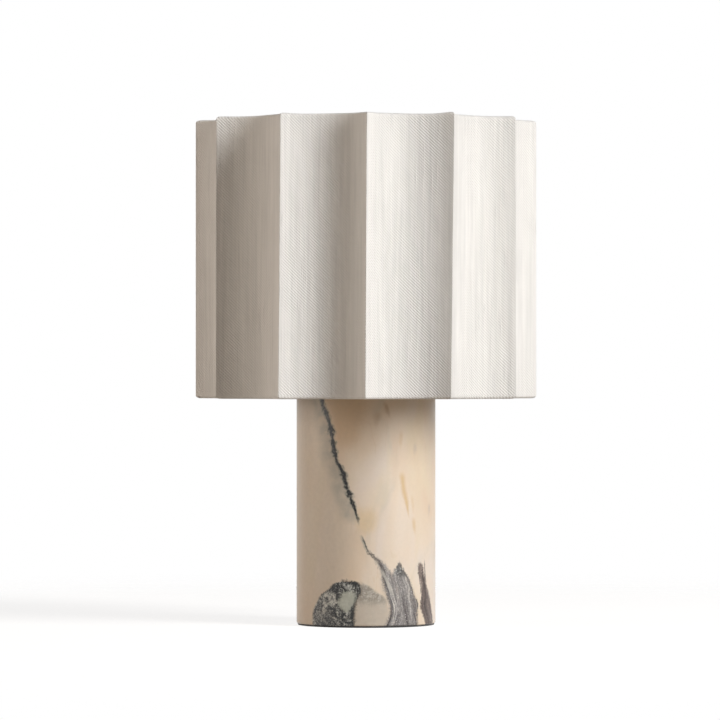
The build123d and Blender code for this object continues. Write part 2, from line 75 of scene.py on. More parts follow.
class NodeBoard:
    """A node tree with short calls for the nodes that the finishes use."""

    def __init__(self, tree: bpy.types.NodeTree) -> None:
        """Keeps the tree.

        Args:
            tree: A material's or a group's node tree.
        """
        self.tree = tree
        self.count = 0

    @classmethod
    def cleared(cls, owner: bpy.types.Material | bpy.types.World) -> "NodeBoard":
        """A board on the emptied node tree of a material or a world.

        Args:
            owner: The material or world.

        Returns:
            The board.
        """
        owner.use_nodes = True
        owner.node_tree.nodes.clear()
        return cls(owner.node_tree)

    def node(self, kind: str, **settings: object) -> bpy.types.Node:
        """Adds a node and sets its plain properties.

        Args:
            kind: The node's class name without its ShaderNode prefix.
            settings: Properties of the node, by name.

        Returns:
            The new node.
        """
        made = self.tree.nodes.new("ShaderNode" + kind)
        made.location = (180 * (self.count % 40), -260 * (self.count // 40))
        self.count += 1
        for name, value in settings.items():
            setattr(made, name, value)
        return made

    def feed(self, socket: Socket, value: object) -> None:
        """Links a socket to another, or sets its own value.

        Args:
            socket: The input to fill.
            value: An output socket, a number, or a colour.
        """
        if isinstance(value, bpy.types.NodeSocket):
            self.tree.links.new(value, socket)
        elif isinstance(value, tuple) and socket.type == "RGBA":
            socket.default_value = (*value, 1.0)
        else:
            socket.default_value = value

    def fill(self, node: bpy.types.Node, **values: object) -> bpy.types.Node:
        """Feeds several inputs of a node.

        Args:
            node: The node.
            values: What goes in, by input name with spaces written as underscores.

        Returns:
            The same node.
        """
        for name, value in values.items():
            self.feed(node.inputs[name.replace("_", " ")], value)
        return node

    def calc(self, operation: str, *values: object) -> Socket:
        """A Math node.

        Args:
            operation: The node's operation.
            values: One to three numbers or sockets.

        Returns:
            The result's socket.
        """
        made = self.node("Math", operation=operation)
        for socket, value in zip(made.inputs, values):
            self.feed(socket, value)
        return made.outputs[0]

    def plus(self, first: object, second: object) -> Socket:
        """The sum of two numbers or sockets."""
        return self.calc("ADD", first, second)

    def minus(self, first: object, second: object) -> Socket:
        """The first number or socket less the second."""
        return self.calc("SUBTRACT", first, second)

    def scale_add(self, value: object, factor: object, level: object) -> Socket:
        """The value times a factor, plus a level."""
        return self.calc("MULTIPLY_ADD", value, factor, level)

    def times(self, first: object, *others: object) -> Socket:
        """The product of two or more numbers or sockets."""
        for other in others:
            first = self.calc("MULTIPLY", first, other)
        return first

    def vector(self, operation: str, *values: object) -> Socket:
        """A Vector Math node.

        Args:
            operation: The node's operation.
            values: Vectors as tuples or sockets.

        Returns:
            The result's socket, which is a number for LENGTH and DOT_PRODUCT.
        """
        made = self.node("VectorMath", operation=operation)
        for socket, value in zip(made.inputs, values):
            self.feed(socket, value)
        return made.outputs["Value" if operation in ("LENGTH", "DOT_PRODUCT") else "Vector"]

    def scaled(self, vector: Socket, x: float, y: float, z: float) -> Socket:
        """The vector stretched by three factors."""
        return self.vector("MULTIPLY", vector, (x, y, z))

    def split(self, vector: Socket) -> tuple[Socket, Socket, Socket]:
        """The vector's three numbers."""
        made = self.node("SeparateXYZ")
        self.feed(made.inputs[0], vector)
        return made.outputs[0], made.outputs[1], made.outputs[2]

    def pack(self, x: object, y: object, z: object) -> Socket:
        """A vector from three numbers or sockets."""
        made = self.node("CombineXYZ")
        for socket, value in zip(made.inputs, (x, y, z)):
            self.feed(socket, value)
        return made.outputs[0]

    def noise(self, vector: Socket, scale: float = 1.0, detail: float = 2.0, rough: float = 0.5,
              twist: float = 0.0) -> Socket:
        """A noise texture's value, about 0.5 on average.

        Args:
            vector: Where it is read.
            scale: Features per unit of the vector.
            detail: Octaves.
            rough: Strength of the finer octaves.
            twist: Distortion.

        Returns:
            The noise value's socket.
        """
        made = self.node("TexNoise")
        self.feed(made.inputs["Vector"], vector)
        made.inputs["Scale"].default_value = scale
        made.inputs["Detail"].default_value = detail
        made.inputs["Roughness"].default_value = rough
        made.inputs["Distortion"].default_value = twist
        return made.outputs[0]

    def cells(self, vector: Socket, scale: float) -> Socket:
        """The distance to the nearest point of a Voronoi texture, with scale as cells per unit."""
        return self.fill(self.node("TexVoronoi"), Vector=vector, Scale=scale).outputs["Distance"]

    def span(self, value: object, low: object, high: object, to_low: float = 0.0, to_high: float = 1.0) -> Socket:
        """Maps a value's range to another with an eased step, held at both ends.

        Args:
            value: The socket to map.
            low: The value that gives to_low.
            high: The value that gives to_high.
            to_low: The result at low.
            to_high: The result at high.

        Returns:
            The mapped value's socket.
        """
        made = self.node("MapRange", interpolation_type="SMOOTHSTEP")
        for name, item in (("Value", value), ("From Min", low), ("From Max", high),
                           ("To Min", to_low), ("To Max", to_high)):
            self.feed(made.inputs[name], item)
        return made.outputs[0]

    def blend(self, factor: object, a: object, b: object, mode: str = "MIX") -> Socket:
        """Mixes two colours.

        Args:
            factor: Share of b.
            a: The first colour or socket.
            b: The second colour or socket.
            mode: The blend type.

        Returns:
            The mixed colour's socket.
        """
        made = self.node("Mix", data_type="RGBA", blend_type=mode)
        self.feed(made.inputs[0], factor)
        self.feed(made.inputs[6], a)
        self.feed(made.inputs[7], b)
        return made.outputs[2]

    def toned(self, colour: object, tone: Socket) -> Socket:
        """The colour multiplied by a tone."""
        return self.blend(1.0, colour, self.pack(tone, tone, tone), "MULTIPLY")

    def ease(self, factor: object, a: object, b: object) -> Socket:
        """Mixes two numbers, where factor is the share of b."""
        made = self.node("Mix", data_type="FLOAT")
        self.feed(made.inputs[0], factor)
        self.feed(made.inputs[2], a)
        self.feed(made.inputs[3], b)
        return made.outputs[0]

    def ramp(self, value: Socket, *stops: tuple[float, Colour]) -> Socket:
        """A colour ramp.

        Args:
            value: Where along the ramp.
            stops: Places and their colours, in order.

        Returns:
            The colour's socket.
        """
        made = self.node("ValToRGB")
        self.feed(made.inputs[0], value)
        points = made.color_ramp.elements
        while len(points) < len(stops):
            points.new(0.5)
        for point, (place, colour) in zip(points, stops):
            point.position = place
            point.color = (*colour, 1.0)
        return made.outputs[0]

    def track(self, value: Socket, points: Sequence[Point2], reach: float, half: float,
              handle: str = "AUTO") -> Socket:
        """A line through given points, such as a vein's path against height.

        Args:
            value: The running value, from 0 to reach.
            points: Pairs of running value and the line's level, in order.
            reach: The largest running value.
            half: The line stays between -half and half.
            handle: AUTO for a smooth line, VECTOR for one that turns sharply.

        Returns:
            The line's level at the running value.
        """
        made = self.node("FloatCurve")
        made.mapping.extend = "HORIZONTAL"
        spots = made.mapping.curves[0].points
        while len(spots) < len(points):
            spots.new(0.5, 0.5)
        for spot, (at, level) in zip(spots, points):
            spot.location = (at / reach, (level + half) / (2 * half))
            spot.handle_type = handle
        made.mapping.update()
        self.feed(made.inputs["Value"], self.calc("DIVIDE", value, reach))
        return self.times(self.minus(made.outputs[0], 0.5), 2 * half)

    def bump(self, height: Socket, depth: float) -> Socket:
        """The normal of a surface with this relief, where depth is the metres for a height of 1."""
        return self.fill(self.node("Bump"), Distance=depth, Height=height).outputs[0]

    def mixed(self, factor: object, first: Socket, second: Socket) -> Socket:
        """Mixes two shaders.

        Args:
            factor: Share of the second.
            first: The first shader's socket.
            second: The second shader's socket.

        Returns:
            The mixed shader's socket.
        """
        made = self.node("MixShader")
        for socket, value in zip(made.inputs, (factor, first, second)):
            self.feed(socket, value)
        return made.outputs[0]

    def effect(self, group: bpy.types.NodeTree, **values: object) -> bpy.types.Node:
        """Places a shared effect and feeds its inputs."""
        return self.fill(self.node("Group", node_tree=group), **values)


Builder = Callable[[NodeBoard, dict[str, Socket]], dict[str, Socket]]
NUMBER = "NodeSocketFloat"
PLACE = "NodeSocketVector"


class SharedEffects:
    """Shader groups that several finishes use, each built at its first use."""

    def __init__(self) -> None:
        """Starts with no group built."""
        self.made: dict[str, bpy.types.NodeTree] = {}

    def group(self, name: str, inputs: dict[str, tuple[str, object]], outputs: Sequence[str],
              build: Builder) -> bpy.types.NodeTree:
        """Returns the named group, and builds it at the first call.

        Args:
            name: The group's name.
            inputs: Socket types and default values, by input name.
            outputs: Names of the outputs, which are numbers.
            build: Fills the tree and returns the outputs by name.

        Returns:
            The node tree.
        """
        if name in self.made:
            return self.made[name]
        tree = bpy.data.node_groups.new(name, "ShaderNodeTree")
        for label, (kind, value) in inputs.items():
            socket = tree.interface.new_socket(name=label, in_out="INPUT", socket_type=kind)
            if value is not None:
                socket.default_value = value
        for label in outputs:
            tree.interface.new_socket(name=label, in_out="OUTPUT", socket_type=NUMBER)
        source = tree.nodes.new("NodeGroupInput")
        results = build(NodeBoard(tree), {s.name: s for s in source.outputs if s.name})
        sink = tree.nodes.new("NodeGroupOutput")
        for label, socket in results.items():
            tree.links.new(socket, sink.inputs[label])
        self.made[name] = tree
        return tree

    def twill(self) -> bpy.types.NodeTree:
        """Two-over-two twill of uneven threads. Places are in millimetres."""
        inputs = {label: (NUMBER, 0.7) for label in ("Across", "Up", "Warp Pitch", "Weft Pitch")}
        outputs = ("Height", "Over", "Rib", "Warp Run", "Weft Run")
        return self.group("twill_weave", inputs, outputs, self.build_twill)

    def build_twill(self, board: NodeBoard, given: dict[str, Socket]) -> dict[str, Socket]:
        """Fills the twill group.

        Args:
            board: The group's board.
            given: Its inputs by name.

        Returns:
            Its outputs by name.
        """
        across, up = given["Across"], given["Up"]
        place = board.pack(across, up, 0.0)
        sway = board.minus(board.noise(place, 0.07), 0.5)
        warp = board.calc("DIVIDE", board.scale_add(sway, 1.8, across), given["Warp Pitch"])
        weft = board.calc("DIVIDE", board.scale_add(sway, -1.2, up), given["Weft Pitch"])
        warp_no, weft_no = board.calc("FLOOR", warp), board.calc("FLOOR", weft)
        step = board.calc("FLOORED_MODULO", board.plus(warp_no, weft_no), 4.0)
        over = board.calc("LESS_THAN", step, 1.5)
        warp_run = board.noise(board.pack(board.times(warp_no, 3.17), board.times(up, 0.035), 0.0))
        weft_run = board.noise(board.pack(board.times(across, 0.030), board.times(weft_no, 2.71), 9.0))
        warp_top = board.times(self.arch(board, warp), board.plus(warp_run, 0.45))
        weft_top = board.times(self.arch(board, weft), board.plus(weft_run, 0.30))
        slant = board.calc("SINE", board.times(board.plus(warp, weft), FULL_TURN / 4))
        return {
            "Height": board.ease(over, weft_top, warp_top),
            "Over": over,
            "Rib": board.scale_add(slant, 0.5, 0.5),
            "Warp Run": warp_run,
            "Weft Run": weft_run,
        }

    @staticmethod
    def arch(board: NodeBoard, thread: Socket) -> Socket:
        """The rounded top of a thread across its width, from 0 to 1."""
        part = board.scale_add(board.calc("FRACT", thread), 2.0, -1.0)
        return board.minus(1.0, board.times(part, part))

    def grain(self) -> bpy.types.NodeTree:
        """Fine moulded grain with broad mottling."""
        inputs = {"Place": (PLACE, None), "Scale": (NUMBER, 1000.0)}
        return self.group("moulded_grain", inputs, ("Height", "Mottle", "Fine"), self.build_grain)

    def build_grain(self, board: NodeBoard, given: dict[str, Socket]) -> dict[str, Socket]:
        """Fills the grain group.

        Args:
            board: The group's board.
            given: Its inputs by name.

        Returns:
            Its outputs by name.
        """
        scale = given["Scale"]
        place = board.vector("MULTIPLY", given["Place"], board.pack(scale, scale, scale))
        fine = board.noise(place, 1.0, 3.0, 0.6)
        pits = board.span(board.cells(place, 0.6), 0.0, 0.35)
        return {"Height": board.ease(0.35, fine, pits), "Mottle": board.noise(place, 0.04), "Fine": fine}

    def worked_lines(self) -> bpy.types.NodeTree:
        """Fine lines from turning or drawing, with smudges from handling."""
        inputs = {"Place": (PLACE, None), "Drawn": (NUMBER, 0.0)}
        return self.group("worked_lines", inputs, ("Height", "Smudge", "Spots"), self.build_worked_lines)

    def build_worked_lines(self, board: NodeBoard, given: dict[str, Socket]) -> dict[str, Socket]:
        """Fills the worked-lines group.

        Args:
            board: The group's board.
            given: Its inputs by name.

        Returns:
            Its outputs by name.
        """
        place = given["Place"]
        x, y, z = board.split(place)
        radius = board.vector("LENGTH", board.pack(x, y, 0.0))
        turned = board.noise(board.pack(board.times(radius, 9000.0), 0.0, board.times(z, 9000.0)), 1.0, 3.0, 0.65)
        drawn = board.noise(board.scaled(place, 7000.0, 7000.0, 220.0), 1.0, 3.0, 0.65)
        return {
            "Height": board.ease(given["Drawn"], turned, drawn),
            "Smudge": board.noise(place, 70.0, 3.0, 0.6, 0.8),
            "Spots": board.span(board.noise(place, 420.0, 2.0, 0.6), 0.60, 0.75),
        }

    def dust(self) -> bpy.types.NodeTree:
        """Dust that settles on faces that look up, thicker in broad patches."""
        inputs = {"Place": (PLACE, None), "Amount": (NUMBER, 0.3)}
        return self.group("settled_dust", inputs, ("Mask",), self.build_dust)

    def build_dust(self, board: NodeBoard, given: dict[str, Socket]) -> dict[str, Socket]:
        """Fills the dust group.

        Args:
            board: The group's board.
            given: Its inputs by name.

        Returns:
            Its outputs by name.
        """
        up = board.split(board.node("NewGeometry").outputs["Normal"])[2]
        patch = board.span(board.noise(given["Place"], 60.0, 4.0, 0.6), 0.35, 0.75)
        specks = board.span(board.noise(given["Place"], 1500.0, 2.0, 0.7), 0.55, 0.70)
        cover = board.times(board.span(up, 0.35, 0.95), board.ease(0.4, patch, specks), given["Amount"])
        return {"Mask": board.calc("MINIMUM", cover, 1.0)}

    def fibres(self) -> bpy.types.NodeTree:
        """Short tangled fibres that lie in three directions."""
        inputs = {"Place": (PLACE, None), "Scale": (NUMBER, 1000.0)}
        return self.group("tangled_fibres", inputs, ("Height", "Lint"), self.build_fibres)

    def build_fibres(self, board: NodeBoard, given: dict[str, Socket]) -> dict[str, Socket]:
        """Fills the fibres group.

        Args:
            board: The group's board.
            given: Its inputs by name.

        Returns:
            Its outputs by name.
        """
        scale = given["Scale"]
        place = board.vector("MULTIPLY", given["Place"], board.pack(scale, scale, scale))
        layers = []
        for turn in (0.3, 1.4, 2.5):
            made = board.node("VectorRotate", rotation_type="Z_AXIS")
            board.feed(made.inputs["Vector"], place)
            made.inputs["Angle"].default_value = turn
            layers.append(board.noise(board.scaled(made.outputs[0], 0.12, 1.6, 1.0), 1.0, 2.0, 0.6, 0.7))
        top = board.calc("MAXIMUM", board.calc("MAXIMUM", layers[0], layers[1]), layers[2])
        return {"Height": top, "Lint": board.span(board.noise(place, 0.11, 2.0, 0.5, 2.0), 0.66, 0.74)}


EFFECTS = SharedEffects()
DUST_COLOUR: Colour = (0.60, 0.56, 0.50)


# ======================================================================================
# Finishes
# ======================================================================================


@dataclass(frozen=True)
class Finish(ABC):
    """A material that is built from nodes at its first use."""

    name: str

    def material(self) -> bpy.types.Material:
        """The material, made once.

        Returns:
            The material of this name.
        """
        found = bpy.data.materials.get(self.name)
        if found is not None:
            return found
        made = bpy.data.materials.new(self.name)
        board = NodeBoard.cleared(made)
        shader = board.node("BsdfPrincipled")
        board.feed(board.node("OutputMaterial").inputs["Surface"], shader.outputs[0])
        self.dress(board, shader)
        return made

    @abstractmethod
    def dress(self, board: NodeBoard, shader: bpy.types.Node) -> None:
        """Fills the shader's sockets.

        Args:
            board: The material's board.
            shader: Its Principled BSDF.
        """

    @staticmethod
    def place(board: NodeBoard) -> Socket:
        """The point on the object, in metres."""
        return board.node("TexCoord").outputs["Object"]


@dataclass(frozen=True)
class ClothFinish(Finish):
    """Off-white twill with slubs, read through the cloth's own map."""

    warp: Colour = (0.885, 0.862, 0.825)
    weft: Colour = (0.83, 0.80, 0.755)
    crest_highlight: Colour = (0.945, 0.93, 0.905)
    flax: Colour = (0.60, 0.52, 0.42)
    warp_pitch: float = 0.715
    weft_pitch: float = 0.66

    def dress(self, board: NodeBoard, shader: bpy.types.Node) -> None:
        """Weave, slubs, streaks and knots.

        Args:
            board: The material's board.
            shader: Its Principled BSDF.
        """
        chart = board.node("UVMap", uv_map="OFBake")
        across, up, _ = board.split(board.scaled(chart.outputs[0], *(CLOTH_MAP,) * 3))
        weave = board.effect(EFFECTS.twill(), Across=across, Up=up, Warp_Pitch=self.warp_pitch,
                             Weft_Pitch=self.weft_pitch)
        rib = weave.outputs["Rib"]
        streak = self.streaks(board, across, up, 0.32, 0.008, 0.0)
        band = self.streaks(board, across, up, 0.10, 0.006, 4.0)
        pick = self.streaks(board, across, up, 0.02, 0.75, 8.0)
        slub = board.span(self.streaks(board, across, up, 0.70, 0.022, 2.0), 0.62, 0.74)
        knot = board.span(board.cells(board.pack(across, up, 0.0), 0.020), 0.018, 0.034, 1.0, 0.0)
        colour = board.blend(weave.outputs["Over"], self.weft, self.warp)
        # Painted highlight and shade: the twill's rib crests are lightened and the grooves between them darkened.
        colour = board.blend(board.times(rib, 0.5), colour, self.crest_highlight)
        tone = board.scale_add(weave.outputs["Warp Run"], 0.16, 0.92)
        tone = board.times(tone, board.scale_add(streak, 0.34, 0.83))
        tone = board.times(tone, board.scale_add(band, 0.16, 0.92))
        tone = board.times(tone, board.scale_add(pick, 0.05, 0.975))
        colour = board.toned(colour, tone)
        flax = board.span(self.streaks(board, across, up, 0.8, 0.014, 12.0), 0.60, 0.76)
        colour = board.blend(board.times(flax, 0.16), colour, self.flax)
        colour = board.blend(board.times(knot, 0.30), colour, self.flax)
        height = rib
        for part, share in ((weave.outputs["Height"], 0.4), (slub, 1.3), (streak, 2.4), (knot, 2.0)):
            height = board.scale_add(part, share, height)
        board.fill(
            shader,
            # Slubs are lightened too: partly paler yarn, partly a painted highlight on their raised tops.
            Base_Color=board.blend(board.times(slub, 0.45), colour, self.crest_highlight),
            Roughness=board.span(weave.outputs["Height"], 0.0, 1.0, 0.95, 0.80),
            Normal=board.bump(height, 0.00030),
            Specular_IOR_Level=0.25, Sheen_Weight=0.10, Sheen_Roughness=0.5,
        )

    @staticmethod
    def streaks(board: NodeBoard, across: Socket, up: Socket, wide: float, tall: float, seed: float) -> Socket:
        """Noise stretched along the threads, with wide and tall features in a millimetre across and up."""
        return board.noise(board.pack(board.times(across, wide), board.times(up, tall), seed), 1.0, 3.0, 0.6)


@dataclass(frozen=True)
class SheetFinish(Finish):
    """White plastic sheet with a faint pebble, mottled by the glue behind it."""

    pale: Colour = (0.86, 0.83, 0.77)
    dull: Colour = (0.80, 0.76, 0.69)

    def dress(self, board: NodeBoard, shader: bpy.types.Node) -> None:
        """Pebbled satin sheet.

        Args:
            board: The material's board.
            shader: Its Principled BSDF.
        """
        grain = board.effect(EFFECTS.grain(), Place=self.place(board), Scale=1400.0)
        board.fill(
            shader,
            Base_Color=board.ramp(grain.outputs["Mottle"], (0.3, self.dull), (0.7, self.pale)),
            Roughness=board.span(grain.outputs["Fine"], 0.3, 0.7, 0.48, 0.66),
            Normal=board.bump(grain.outputs["Height"], 0.00008),
        )


@dataclass(frozen=True)
class EnamelFinish(Finish):
    """White powder coat over steel, with a few small chips and some dust."""

    pale: Colour = (0.84, 0.83, 0.79)
    dull: Colour = (0.79, 0.77, 0.72)
    steel: Colour = (0.20, 0.18, 0.16)

    def dress(self, board: NodeBoard, shader: bpy.types.Node) -> None:
        """Orange peel, chips and dust.

        Args:
            board: The material's board.
            shader: Its Principled BSDF.
        """
        place = self.place(board)
        grain = board.effect(EFFECTS.grain(), Place=place, Scale=2200.0)
        dust = board.effect(EFFECTS.dust(), Place=place, Amount=0.5).outputs["Mask"]
        chips = board.span(board.noise(place, 260.0, 4.0, 0.7), 0.70, 0.73)
        colour = board.ramp(grain.outputs["Mottle"], (0.3, self.dull), (0.7, self.pale))
        colour = board.blend(chips, colour, self.steel)
        board.feed(shader.inputs["Base Color"], board.blend(dust, colour, DUST_COLOUR))
        board.feed(shader.inputs["Roughness"], board.plus(board.times(dust, 0.3), 0.42))
        height = board.scale_add(chips, -0.8, grain.outputs["Height"])
        board.feed(shader.inputs["Normal"], board.bump(height, 0.00004))


class MetalMark(Enum):
    """How a metal surface was worked, as the share of drawn lines over turned ones."""

    TURNED = 0.0
    DRAWN = 1.0


@dataclass(frozen=True)
class MetalFinish(Finish):
    """Worked metal with smudges, tarnish and dust."""

    bright: Colour = (0.62, 0.62, 0.61)
    dull: Colour = (0.50, 0.50, 0.49)
    tarnish: Colour = (0.26, 0.25, 0.23)
    smooth: float = 0.20
    rough: float = 0.42
    mark: MetalMark = MetalMark.TURNED
    line_depth: float = 0.00002
    stains: float = 0.35

    def dress(self, board: NodeBoard, shader: bpy.types.Node) -> None:
        """Worked lines, smudges, tarnish and dust.

        Args:
            board: The material's board.
            shader: Its Principled BSDF.
        """
        place = self.place(board)
        lines = board.effect(EFFECTS.worked_lines(), Place=place, Drawn=self.mark.value)
        dust = board.effect(EFFECTS.dust(), Place=place, Amount=0.45).outputs["Mask"]
        smudge = lines.outputs["Smudge"]
        colour = board.blend(board.span(smudge, 0.35, 0.65), self.bright, self.dull)
        bloom = board.span(board.noise(place, 130.0, 4.0, 0.65, 1.0), 0.50, 0.72)
        stained = board.calc("MAXIMUM", board.times(bloom, self.stains), board.times(lines.outputs["Spots"], 0.6))
        colour = board.blend(stained, colour, self.tarnish)
        board.feed(shader.inputs["Base Color"], board.blend(dust, colour, DUST_COLOUR))
        board.feed(shader.inputs["Metallic"], board.minus(1.0, dust))
        gloss = board.span(smudge, 0.30, 0.70, self.smooth, self.rough)
        gloss = board.scale_add(stained, 0.22, gloss)
        board.feed(shader.inputs["Roughness"], board.scale_add(dust, 0.35, gloss))
        board.feed(shader.inputs["Normal"], board.bump(lines.outputs["Height"], self.line_depth))


@dataclass(frozen=True)
class PlasticFinish(Finish):
    """Moulded plastic with a fine grain, rub marks and dust."""

    colour: Colour = (0.04, 0.038, 0.035)
    rubbed: Colour = (0.075, 0.07, 0.065)
    smooth: float = 0.30
    rough: float = 0.50
    grain_scale: float = 1600.0
    grain_depth: float = 0.00003
    dusty: float = 0.45

    def dress(self, board: NodeBoard, shader: bpy.types.Node) -> None:
        """Grain, rub marks and dust.

        Args:
            board: The material's board.
            shader: Its Principled BSDF.
        """
        place = self.place(board)
        grain = board.effect(EFFECTS.grain(), Place=place, Scale=self.grain_scale)
        dust = board.effect(EFFECTS.dust(), Place=place, Amount=self.dusty).outputs["Mask"]
        rubs = board.noise(board.scaled(place, 900.0, 900.0, 120.0), 1.0, 3.0, 0.7, 0.6)
        worn = board.times(board.span(rubs, 0.55, 0.75), 0.7)
        colour = board.blend(board.span(grain.outputs["Mottle"], 0.3, 0.7, 0.0, 0.35), self.colour, self.rubbed)
        colour = board.blend(worn, colour, self.rubbed)
        board.feed(shader.inputs["Base Color"], board.blend(dust, colour, DUST_COLOUR))
        gloss = board.span(grain.outputs["Fine"], 0.3, 0.7, self.smooth, self.rough)
        gloss = board.scale_add(worn, 0.12, gloss)
        board.feed(shader.inputs["Roughness"], board.scale_add(dust, 0.3, gloss))
        board.feed(shader.inputs["Normal"], board.bump(grain.outputs["Height"], self.grain_depth))


@dataclass(frozen=True)
class FibreFinish(Finish):
    """Pressed fibres, as in felt or insulating card."""

    dark: Colour = (0.012, 0.012, 0.013)
    pale: Colour = (0.060, 0.058, 0.056)
    lint: Colour = (0.30, 0.28, 0.25)
    scale: float = 1500.0
    depth: float = 0.00025
    sheen: float = 0.5

    def dress(self, board: NodeBoard, shader: bpy.types.Node) -> None:
        """Tangled fibres with specks of lint.

        Args:
            board: The material's board.
            shader: Its Principled BSDF.
        """
        fibres = board.effect(EFFECTS.fibres(), Place=self.place(board), Scale=self.scale)
        height = fibres.outputs["Height"]
        colour = board.ramp(height, (0.40, self.dark), (0.75, self.pale))
        board.fill(
            shader,
            Base_Color=board.blend(board.times(fibres.outputs["Lint"], 0.5), colour, self.lint),
            Roughness=board.span(height, 0.4, 0.8, 0.98, 0.85),
            Normal=board.bump(height, self.depth),
            Sheen_Weight=self.sheen,
        )


@dataclass(frozen=True)
class OpalFinish(Finish):
    """Opal diffuser with faint flow lines and a few specks of dust."""

    pale: Colour = (0.88, 0.87, 0.84)
    warm: Colour = (0.83, 0.81, 0.76)

    def dress(self, board: NodeBoard, shader: bpy.types.Node) -> None:
        """Milky body with a satin skin.

        Args:
            board: The material's board.
            shader: Its Principled BSDF.
        """
        place = self.place(board)
        grain = board.effect(EFFECTS.grain(), Place=place, Scale=900.0)
        dust = board.effect(EFFECTS.dust(), Place=place, Amount=0.35).outputs["Mask"]
        flow = board.noise(board.scaled(place, 40.0, 40.0, 160.0), 1.0, 2.0)
        colour = board.ramp(flow, (0.35, self.warm), (0.65, self.pale))
        board.feed(shader.inputs["Base Color"], board.blend(dust, colour, DUST_COLOUR))
        gloss = board.span(grain.outputs["Fine"], 0.3, 0.7, 0.28, 0.40)
        board.feed(shader.inputs["Roughness"], board.scale_add(dust, 0.4, gloss))
        board.feed(shader.inputs["Normal"], board.bump(grain.outputs["Height"], 0.00001))
        shader.inputs["Subsurface Weight"].default_value = 0.2
        shader.inputs["Subsurface Radius"].default_value = (0.004, 0.003, 0.002)


@dataclass(frozen=True)
class BoardFinish(Finish):
    """A printed circuit board with tracks and pads under its lacquer."""

    lacquer: Colour = (0.03, 0.16, 0.07)
    track: Colour = (0.06, 0.26, 0.12)
    pad: Colour = (0.62, 0.58, 0.50)
    pitch: float = 2.2

    def dress(self, board: NodeBoard, shader: bpy.types.Node) -> None:
        """Tracks that follow a grid, and tinned pads where they meet.

        Args:
            board: The material's board.
            shader: Its Principled BSDF.
        """
        place = self.place(board)
        grid = board.scaled(place, *(1000.0 / self.pitch,) * 3)
        x, y, z = board.split(grid)
        choice = board.cells(grid, 0.8)
        bar = board.calc("MINIMUM", board.calc("PINGPONG", x, 0.5), board.calc("PINGPONG", z, 0.5))
        bar = board.calc("MINIMUM", bar, board.calc("PINGPONG", y, 0.5))
        tracks = board.times(board.span(bar, 0.10, 0.14, 1.0, 0.0), board.span(choice, 0.3, 0.4))
        pads = board.span(board.cells(grid, 0.55), 0.13, 0.17, 1.0, 0.0)
        grain = board.effect(EFFECTS.grain(), Place=place, Scale=2500.0)
        colour = board.blend(tracks, self.lacquer, self.track)
        board.fill(
            shader,
            Base_Color=board.blend(pads, colour, self.pad),
            Metallic=board.times(pads, 0.9),
            Roughness=board.span(grain.outputs["Fine"], 0.3, 0.7, 0.28, 0.42),
            Normal=board.bump(board.scale_add(tracks, 0.6, pads), 0.00005),
        )


class Filling(Enum):
    """What fills a patch of the marble."""

    STREAKED = "streaked"
    SPECKLED = "speckled"
    CALM = "calm"


@dataclass(frozen=True)
class Vein:
    """A vein of the marble: its path as height and arc length from the front line, and its look."""

    path: tuple[Point2, ...]
    width: float
    colour: Colour = (0.022, 0.022, 0.026)
    jag: float = 2.4
    clumps: float = 1.0
    stain: float = 0.0
    strength: float = 1.0
    crisp: float = 0.35


@dataclass(frozen=True)
class Patch:
    """A patch of the marble between two borders, each given as height and arc length."""

    left: tuple[Point2, ...]
    right: tuple[Point2, ...]
    top: float
    filling: Filling
    foot: float = -20.0
    colour: Colour = (0.58, 0.57, 0.49)
    tint: Colour = (1.0, 1.0, 1.0)
    soft: float = 0.7
    fade: float = 1.0
    ragged: float = 2.0
    strength: float = 1.0
    rim: float = 0.0


